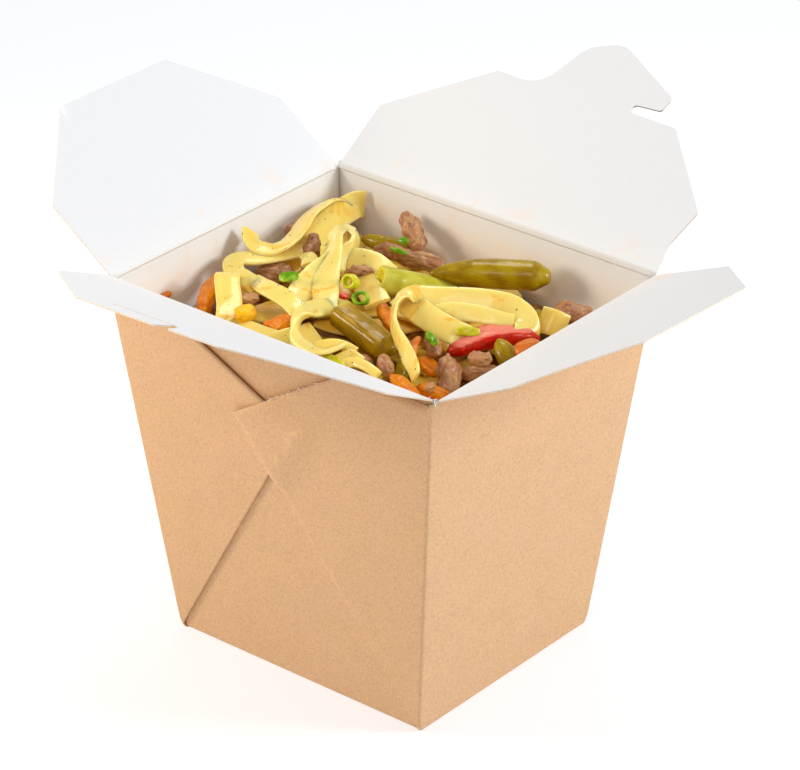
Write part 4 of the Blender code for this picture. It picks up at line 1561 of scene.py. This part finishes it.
@dataclass
class Scrap:
    """A small cut piece on top of the food.

    place is its middle in mm; turn is its heading, pitch and roll in degrees; size is its length, width
    and height in mm. A ring's hole runs along its length.
    """

    finish: str
    place: tuple[float, float, float]
    turn: tuple[float, float, float]
    size: tuple[float, float, float]
    form: Form = Form.CHUNK
    bend: float = 0.0  # rise of the middle over the ends, in mm
    boxy: float = 0.55
    rough: float = 0.25

    def local(self) -> bmesh.types.BMesh:
        """The piece about its own middle, in millimetres."""
        builder = bmesh.new()
        if self.form is Form.CHUNK:
            bmesh.ops.create_icosphere(builder, subdivisions=4, radius=1.0)
            for vert in builder.verts:
                for axis in range(3):
                    share = vert.co[axis]
                    vert.co[axis] = math.copysign(abs(share) ** self.boxy, share) * self.size[axis] / 2
        else:
            rings = []
            for around in range(28):
                angle = math.tau * around / 28
                ring = []
                for k in range(12):
                    turn = math.tau * k / 12
                    wall = 1 + 0.22 * math.copysign(abs(math.cos(turn)) ** 0.6, math.cos(turn)) - 0.22
                    along = self.size[0] / 2 * math.copysign(abs(math.sin(turn)) ** 0.5, math.sin(turn))
                    y, z = (self.size[i] / 2 * wall for i in (1, 2))
                    ring.append(builder.verts.new((along, y * math.cos(angle), z * math.sin(angle))))
                rings.append(ring)
            for i in range(28):
                for k in range(12):
                    near, far, after = rings[i], rings[(i + 1) % 28], (k + 1) % 12
                    builder.faces.new((near[k], far[k], far[after], near[after]))
            bmesh.ops.recalc_face_normals(builder, faces=builder.faces)
        return builder

    def build(self) -> bmesh.types.BMesh:
        """The piece in its place, in metres, with its grain."""
        builder = self.local()
        builder.normal_update()
        grain = builder.verts.layers.float_vector.new("grain")
        heading, pitch, roll = (math.radians(angle) for angle in self.turn)
        turned = Matrix.Rotation(heading, 3, "Z") @ Matrix.Rotation(-pitch, 3, "Y") @ Matrix.Rotation(roll, 3, "X")
        seed = Vector(self.place)
        for vert in builder.verts:
            vert[grain] = vert.co * MM
            lump = noise.fractal(vert.co * 0.55 + seed, 0.8, 2.0, 3)
            shape = vert.co + vert.normal * (lump * self.rough)
            shape.z += self.bend * (1 - (2 * vert.co.x / self.size[0]) ** 2)
            vert.co = (turned @ shape + seed) * MM
        return builder


SCRAPS = [
    Scrap("scallion", (-24, -8.8, 98.2), (24, 8, 40), (5.4, 3.0, 0.9), bend=0.5, boxy=0.85),
    Scrap("scallion_pale", (-10.7, -0.1, 97.8), (-95, 25, 0), (2.6, 4.9, 4.0), Form.RING),
    Scrap("scallion", (-3.4, -4.8, 97.2), (-60, 30, 0), (3.4, 4.6, 3.6), Form.RING),
    Scrap("scallion", (24.8, -11.1, 97.6), (-22, -8, 70), (5.8, 2.4, 1.0), bend=0.3, boxy=0.85),
    Scrap("scallion", (-16.0, 27.4, 97.6), (20, 0, 60), (3.0, 1.8, 0.6), boxy=0.85),
    Scrap("scallion", (-14.4, 23.4, 96.6), (8, -4, 60), (5.6, 1.3, 0.5), bend=0.2, boxy=0.85),
    Scrap("scallion_pale", (28.1, -0.6, 96.4), (36, 0, 55), (6.2, 2.4, 0.8)),
    Scrap("scallion_pale", (11.2, -33.2, 95.6), (-8, -3, 30), (8.4, 2.4, 1.0), bend=0.3),
    Scrap("pepper_skin", (-9.7, -3.9, 95.6), (20, 0, 30), (2.6, 1.8, 1.2)),
    Scrap("beef_seared", (-16.0, 9.8, 95.6), (38, 0, 20), (7.0, 2.8, 2.4), boxy=0.8, rough=0.8),
    Scrap("beef_seared", (37.4, -7.6, 94.6), (30, 0, 10), (5.6, 3.6, 2.6), boxy=0.8, rough=0.8),
    Scrap("beef_seared", (37.5, -27.2, 94.6), (60, 0, 10), (3.0, 2.4, 2.0), boxy=0.8, rough=0.6),
    Scrap("beef_seared", (-27.6, -20.0, 95.2), (30, 0, 10), (5.0, 3.2, 2.6), boxy=0.8, rough=0.7),
    Scrap("orange_skin", (-50.3, -26.4, 91.6), (90, 0, 20), (3.0, 1.6, 1.6)),
    Scrap("squash", (-23.2, -26.6, 95.2), (50, 6, 20), (5.4, 4.6, 3.0), boxy=0.7),
    Scrap("orange_skin", (44.0, 3.2, 95.4), (48, 6, 40), (6.8, 4.0, 1.4), bend=0.6),
    Scrap("orange_skin", (23.0, -15.6, 95.6), (-62, -10, 40), (9.0, 3.2, 1.6), bend=0.9),
    Scrap("onion", (-39.6, -17.0, 96.2), (-40, 0, 50), (3.4, 1.6, 1.2), bend=0.2),
]


def garnish(pantry: Pantry) -> list[bpy.types.Object]:
    """Join the scraps of each finish into one piece."""
    made = []
    for finish in sorted({scrap.finish for scrap in SCRAPS}):
        pieces = []
        for scrap in SCRAPS:
            if scrap.finish != finish:
                continue
            builder = scrap.build()
            mesh = bpy.data.meshes.new("scrap")
            builder.to_mesh(mesh)
            builder.free()
            mesh.shade_smooth()
            pieces.append(new_object("scrap", mesh, pantry[finish]))
        whole = join("garnish_" + finish, pieces)
        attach(whole, "root")
        made.append(whole)
    return made


@dataclass
class Crumbs:
    """Ground pepper on the noodles, scattered by a seeded tree."""

    material: bpy.types.Material
    density: float = 22000.0  # per square metre
    seed: int = 4

    def tree(self) -> Tree:
        """Tree that puts small flakes on the faces that look up."""
        tree = Tree("crumb_scatter")
        density = tree.given("Density", "Float", 1.0)
        seed = tree.given("Seed", "Int", 0)
        size = tree.given("Size", "Float", 0.25 * MM)
        material = tree.given("Material", "Material")
        normal = tree.add("GeometryNodeInputNormal", {})
        split = tree.group.nodes.new("ShaderNodeSeparateXYZ")
        tree.group.links.new(normal, split.inputs[0])
        upward = tree.add("FunctionNodeCompare", {0: split.outputs[2], 1: 0.35}, operation="GREATER_THAN")
        scatter = {"Mesh": tree.source.outputs[0], "Selection": upward, "Density": density, "Seed": seed}
        points = tree.add("GeometryNodeDistributePointsOnFaces", scatter)
        flake = tree.add("GeometryNodeMeshIcoSphere", {"Radius": 1.0, "Subdivisions": 1})
        low, high = (0.5, 0.4, 0.3), (1.3, 1.0, 0.7)
        scale = {0: low, 1: high, "Seed": seed}
        shape = tree.add("FunctionNodeRandomValue", scale, data_type="FLOAT_VECTOR")
        sized = tree.group.nodes.new("ShaderNodeVectorMath")
        sized.operation = "SCALE"
        tree.group.links.new(shape, sized.inputs[0])
        tree.group.links.new(size, sized.inputs["Scale"])
        turned = tree.add(
            "FunctionNodeRandomValue", {0: (0, 0, 0), 1: (3, 3, 6), "Seed": seed}, data_type="FLOAT_VECTOR"
        )
        placed = {"Points": points, "Instance": flake, "Scale": sized.outputs[0], "Rotation": turned}
        tree.end(tree.add("GeometryNodeInstanceOnPoints", placed), material)
        return tree

    def scatter(self, name: str, host: bpy.types.Object) -> bpy.types.Object:
        """Scatter the crumbs over a piece."""
        crumbs = new_object(name, host.data.copy())
        self.tree().run(crumbs, Density=self.density, Seed=self.seed, Size=0.24 * MM, Material=self.material)
        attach(crumbs, "root")
        return crumbs


@dataclass
class Fray:
    """Short white fibres that stand out of a torn edge of the board, scattered by a seeded tree."""

    material: bpy.types.Material
    spacing: float = 0.3  # in mm
    length: float = 1.1
    seed: int = 7

    def tree(self) -> Tree:
        """Tree that puts thin cones along lines, each with its own size and direction."""
        tree = Tree("torn_fibres")
        spacing = tree.given("Spacing", "Float", 0.5 * MM)
        length = tree.given("Length", "Float", 0.9 * MM)
        seed = tree.given("Seed", "Int", 0)
        material = tree.given("Material", "Material")
        line = tree.add("GeometryNodeMeshToCurve", {"Mesh": tree.source.outputs[0]})
        points = tree.add("GeometryNodeCurveToPoints", {"Curve": line, "Length": spacing}, mode="LENGTH")
        shape = {"Vertices": 5, "Radius Top": 0.03, "Radius Bottom": 0.12, "Depth": 1.0}
        fibre = tree.add("GeometryNodeMeshCone", shape)
        share = tree.add("FunctionNodeRandomValue", {2: 0.25, 3: 1.1, "Seed": seed}, 1, data_type="FLOAT")
        size = tree.math("MULTIPLY", tree.math("POWER", share, 2.5), length)
        turned = {0: (0.9, -1.4, -3.2), 1: (2.2, 1.4, 3.2), "Seed": seed}
        heading = tree.add("FunctionNodeRandomValue", turned, data_type="FLOAT_VECTOR")
        placed = {"Points": points, "Instance": fibre, "Scale": size, "Rotation": heading}
        tree.end(tree.add("GeometryNodeInstanceOnPoints", placed), material)
        return tree

    def lines(self, carton: Carton) -> list[list[Vector]]:
        """Where the board is torn: the upper gussets' cut edges and the front corner of the rim."""
        gusset = carton.gussets[1]
        found = []
        for way in (-1, 1):
            line = []
            for z in spread(gusset.tip[1] + 7.0, carton.gusset_top - 0.3, 16):
                x = carton.edge_at(gusset, z)
                y = carton.half(z)[1] + carton.stand_off(gusset, x, z)
                line.append(Vector((x, way * y, z)))
            found.append(line)
        x, y = carton.rim
        top = carton.height
        found.append([Vector((x - 3.2, -y, top + 0.2)), Vector((x, -y, top + 0.4)), Vector((x, 2.6 - y, top + 0.2))])
        found.append([Vector((x - 0.8, -y - 0.2, top + 0.4)), Vector((x + 0.4, 0.8 - y, top + 0.5))])
        return found

    def make(self, carton: Carton) -> bpy.types.Object:
        """Put the fibres on the box."""
        points, edges = [], []
        for line in self.lines(carton):
            edges += [(len(points) + k, len(points) + k + 1) for k in range(len(line) - 1)]
            points += [tuple(point * MM) for point in line]
        mesh = bpy.data.meshes.new("torn_fibres")
        mesh.from_pydata(points, edges, [])
        fibres = new_object("torn_fibres", mesh)
        self.tree().run(
            fibres, Spacing=self.spacing * MM, Length=self.length * MM, Seed=self.seed, Material=self.material
        )
        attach(fibres, "root")
        return fibres


# ---- Studio ------------------------------------------------------------------------------------------


@dataclass
class Studio:
    """White table, white surround, a large key light and the camera."""

    camera_place: tuple[float, float, float] = (0.57452, -0.69033, 0.54587)
    aim: tuple[float, float, float] = (0.0007, 0.0058, 0.0695)
    lens: float = 178.3
    surround: float = 0.46

    def camera(self) -> None:
        """Camera at three-quarter height in front of the upright corner."""
        data = bpy.data.cameras.new("camera")
        data.lens = self.lens
        data.sensor_width = 36.0
        data.clip_start = 0.05
        camera = bpy.data.objects.new("camera", data)
        camera.location = self.camera_place
        line = Vector(self.aim) - Vector(self.camera_place)
        camera.rotation_euler = line.to_track_quat("-Z", "Y").to_euler()
        bpy.context.scene.collection.objects.link(camera)
        bpy.context.scene.camera = camera

    def lamp(self, name: str, place: Sequence[float], size: float, power: float, warmth: float = 0.0) -> None:
        """A square area light aimed at the food."""
        data = bpy.data.lights.new(name, "AREA")
        data.size = size
        data.energy = power
        data.color = (1.0, 1.0 - 0.04 * warmth, 1.0 - 0.09 * warmth)
        lamp = bpy.data.objects.new(name, data)
        lamp.location = place
        lamp.rotation_euler = (Vector((0, 0, 0.08)) - Vector(place)).to_track_quat("-Z", "Y").to_euler()
        bpy.context.scene.collection.objects.link(lamp)

    def table(self) -> bpy.types.Object:
        """A round white table top."""
        builder = bmesh.new()
        bmesh.ops.create_circle(builder, cap_ends=True, segments=96, radius=6.0)
        mesh = bpy.data.meshes.new("table")
        builder.to_mesh(mesh)
        builder.free()
        material = bpy.data.materials.new("table_white")
        material.use_nodes = True
        shader = material.node_tree.nodes["Principled BSDF"]
        shader.inputs["Base Color"].default_value = (0.51, 0.52, 0.54, 1)
        shader.inputs["Roughness"].default_value = 0.9
        shader.inputs["Emission Color"].default_value = (1, 1, 1, 1)
        shader.inputs["Emission Strength"].default_value = 0.50
        return new_object("table", mesh, material)

    def make(self) -> None:
        """Build the studio."""
        scene = bpy.context.scene
        world = bpy.data.worlds.new("surround")
        world.use_nodes = True
        tree = world.node_tree
        mirrored = tree.nodes.new("ShaderNodeLightPath").outputs["Is Glossy Ray"]
        dimmed = tree.nodes.new("ShaderNodeMapRange")
        dimmed.inputs["To Min"].default_value = self.surround
        dimmed.inputs["To Max"].default_value = self.surround * 0.35
        tree.links.new(mirrored, dimmed.inputs["Value"])
        tree.links.new(dimmed.outputs[0], tree.nodes["Background"].inputs["Strength"])
        tree.nodes["Background"].inputs["Color"].default_value = (1, 1, 1, 1)
        scene.world = world
        scene.view_settings.view_transform = "Standard"
        self.lamp("back", (-0.35, 0.45, 1.05), 0.4, 3.2)
        self.lamp("front", (0.34, -0.56, 0.78), 0.35, 1.3)
        self.lamp("left", (-0.21, -0.20, 0.21), 0.10, 0.62, 2.4)
        self.lamp("right", (0.50, 0.28, 0.36), 0.20, 2.45, -1.8)
        self.camera()
        self.table()


def main() -> None:
    """Build the looks around the frame."""
    logging.basicConfig(level=logging.INFO, format="%(name)s: %(message)s")
    for obj in list(bpy.data.objects):
        bpy.data.objects.remove(obj, do_unlink=True)
    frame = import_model()
    pantry = Pantry()
    Studio().make()

    carton = Carton(frame, pantry["kraft"], pantry["white_lining"], pantry["cut_edge"])
    LOG.info("carton: %d faces", len(carton.make().data.polygons))
    flaps = (
        Flap("dust_flap_back", "back_dust_crease", (0.0, 0.0), 0.4),
        Flap("dust_flap_front", "front_dust_crease", (2.4, -1.0), 0.3),
        Flap("slotted_flap", "slotted_crease", (-1.0, 2.2), 0.3),
        Flap("hooked_flap", "hooked_crease", (0.0, 0.0), 0.5),
    )
    for flap in flaps:
        for piece in flap.make(frame, carton):
            LOG.info("%s: %d faces", piece.name, len(piece.data.polygons))
    noodles = Noodles(frame, pantry["noodle"], pantry["sauce"]).make()
    crumbs = Crumbs(pantry["pepper_speck"]).scatter("pepper_crumbs", noodles[-1])
    fibres = Fray(pantry["white_lining"]).make(carton)
    for piece in [*noodles, crumbs, fibres, *garnish(pantry)]:
        LOG.info("%s: %d faces", piece.name, len(piece.data.polygons))
    for index, morsel in enumerate(morsels()):
        piece = morsel.make(frame, pantry, index)
        LOG.info("%s: %d faces", piece.name, len(piece.data.polygons))


if __name__ == "__main__":
    main()
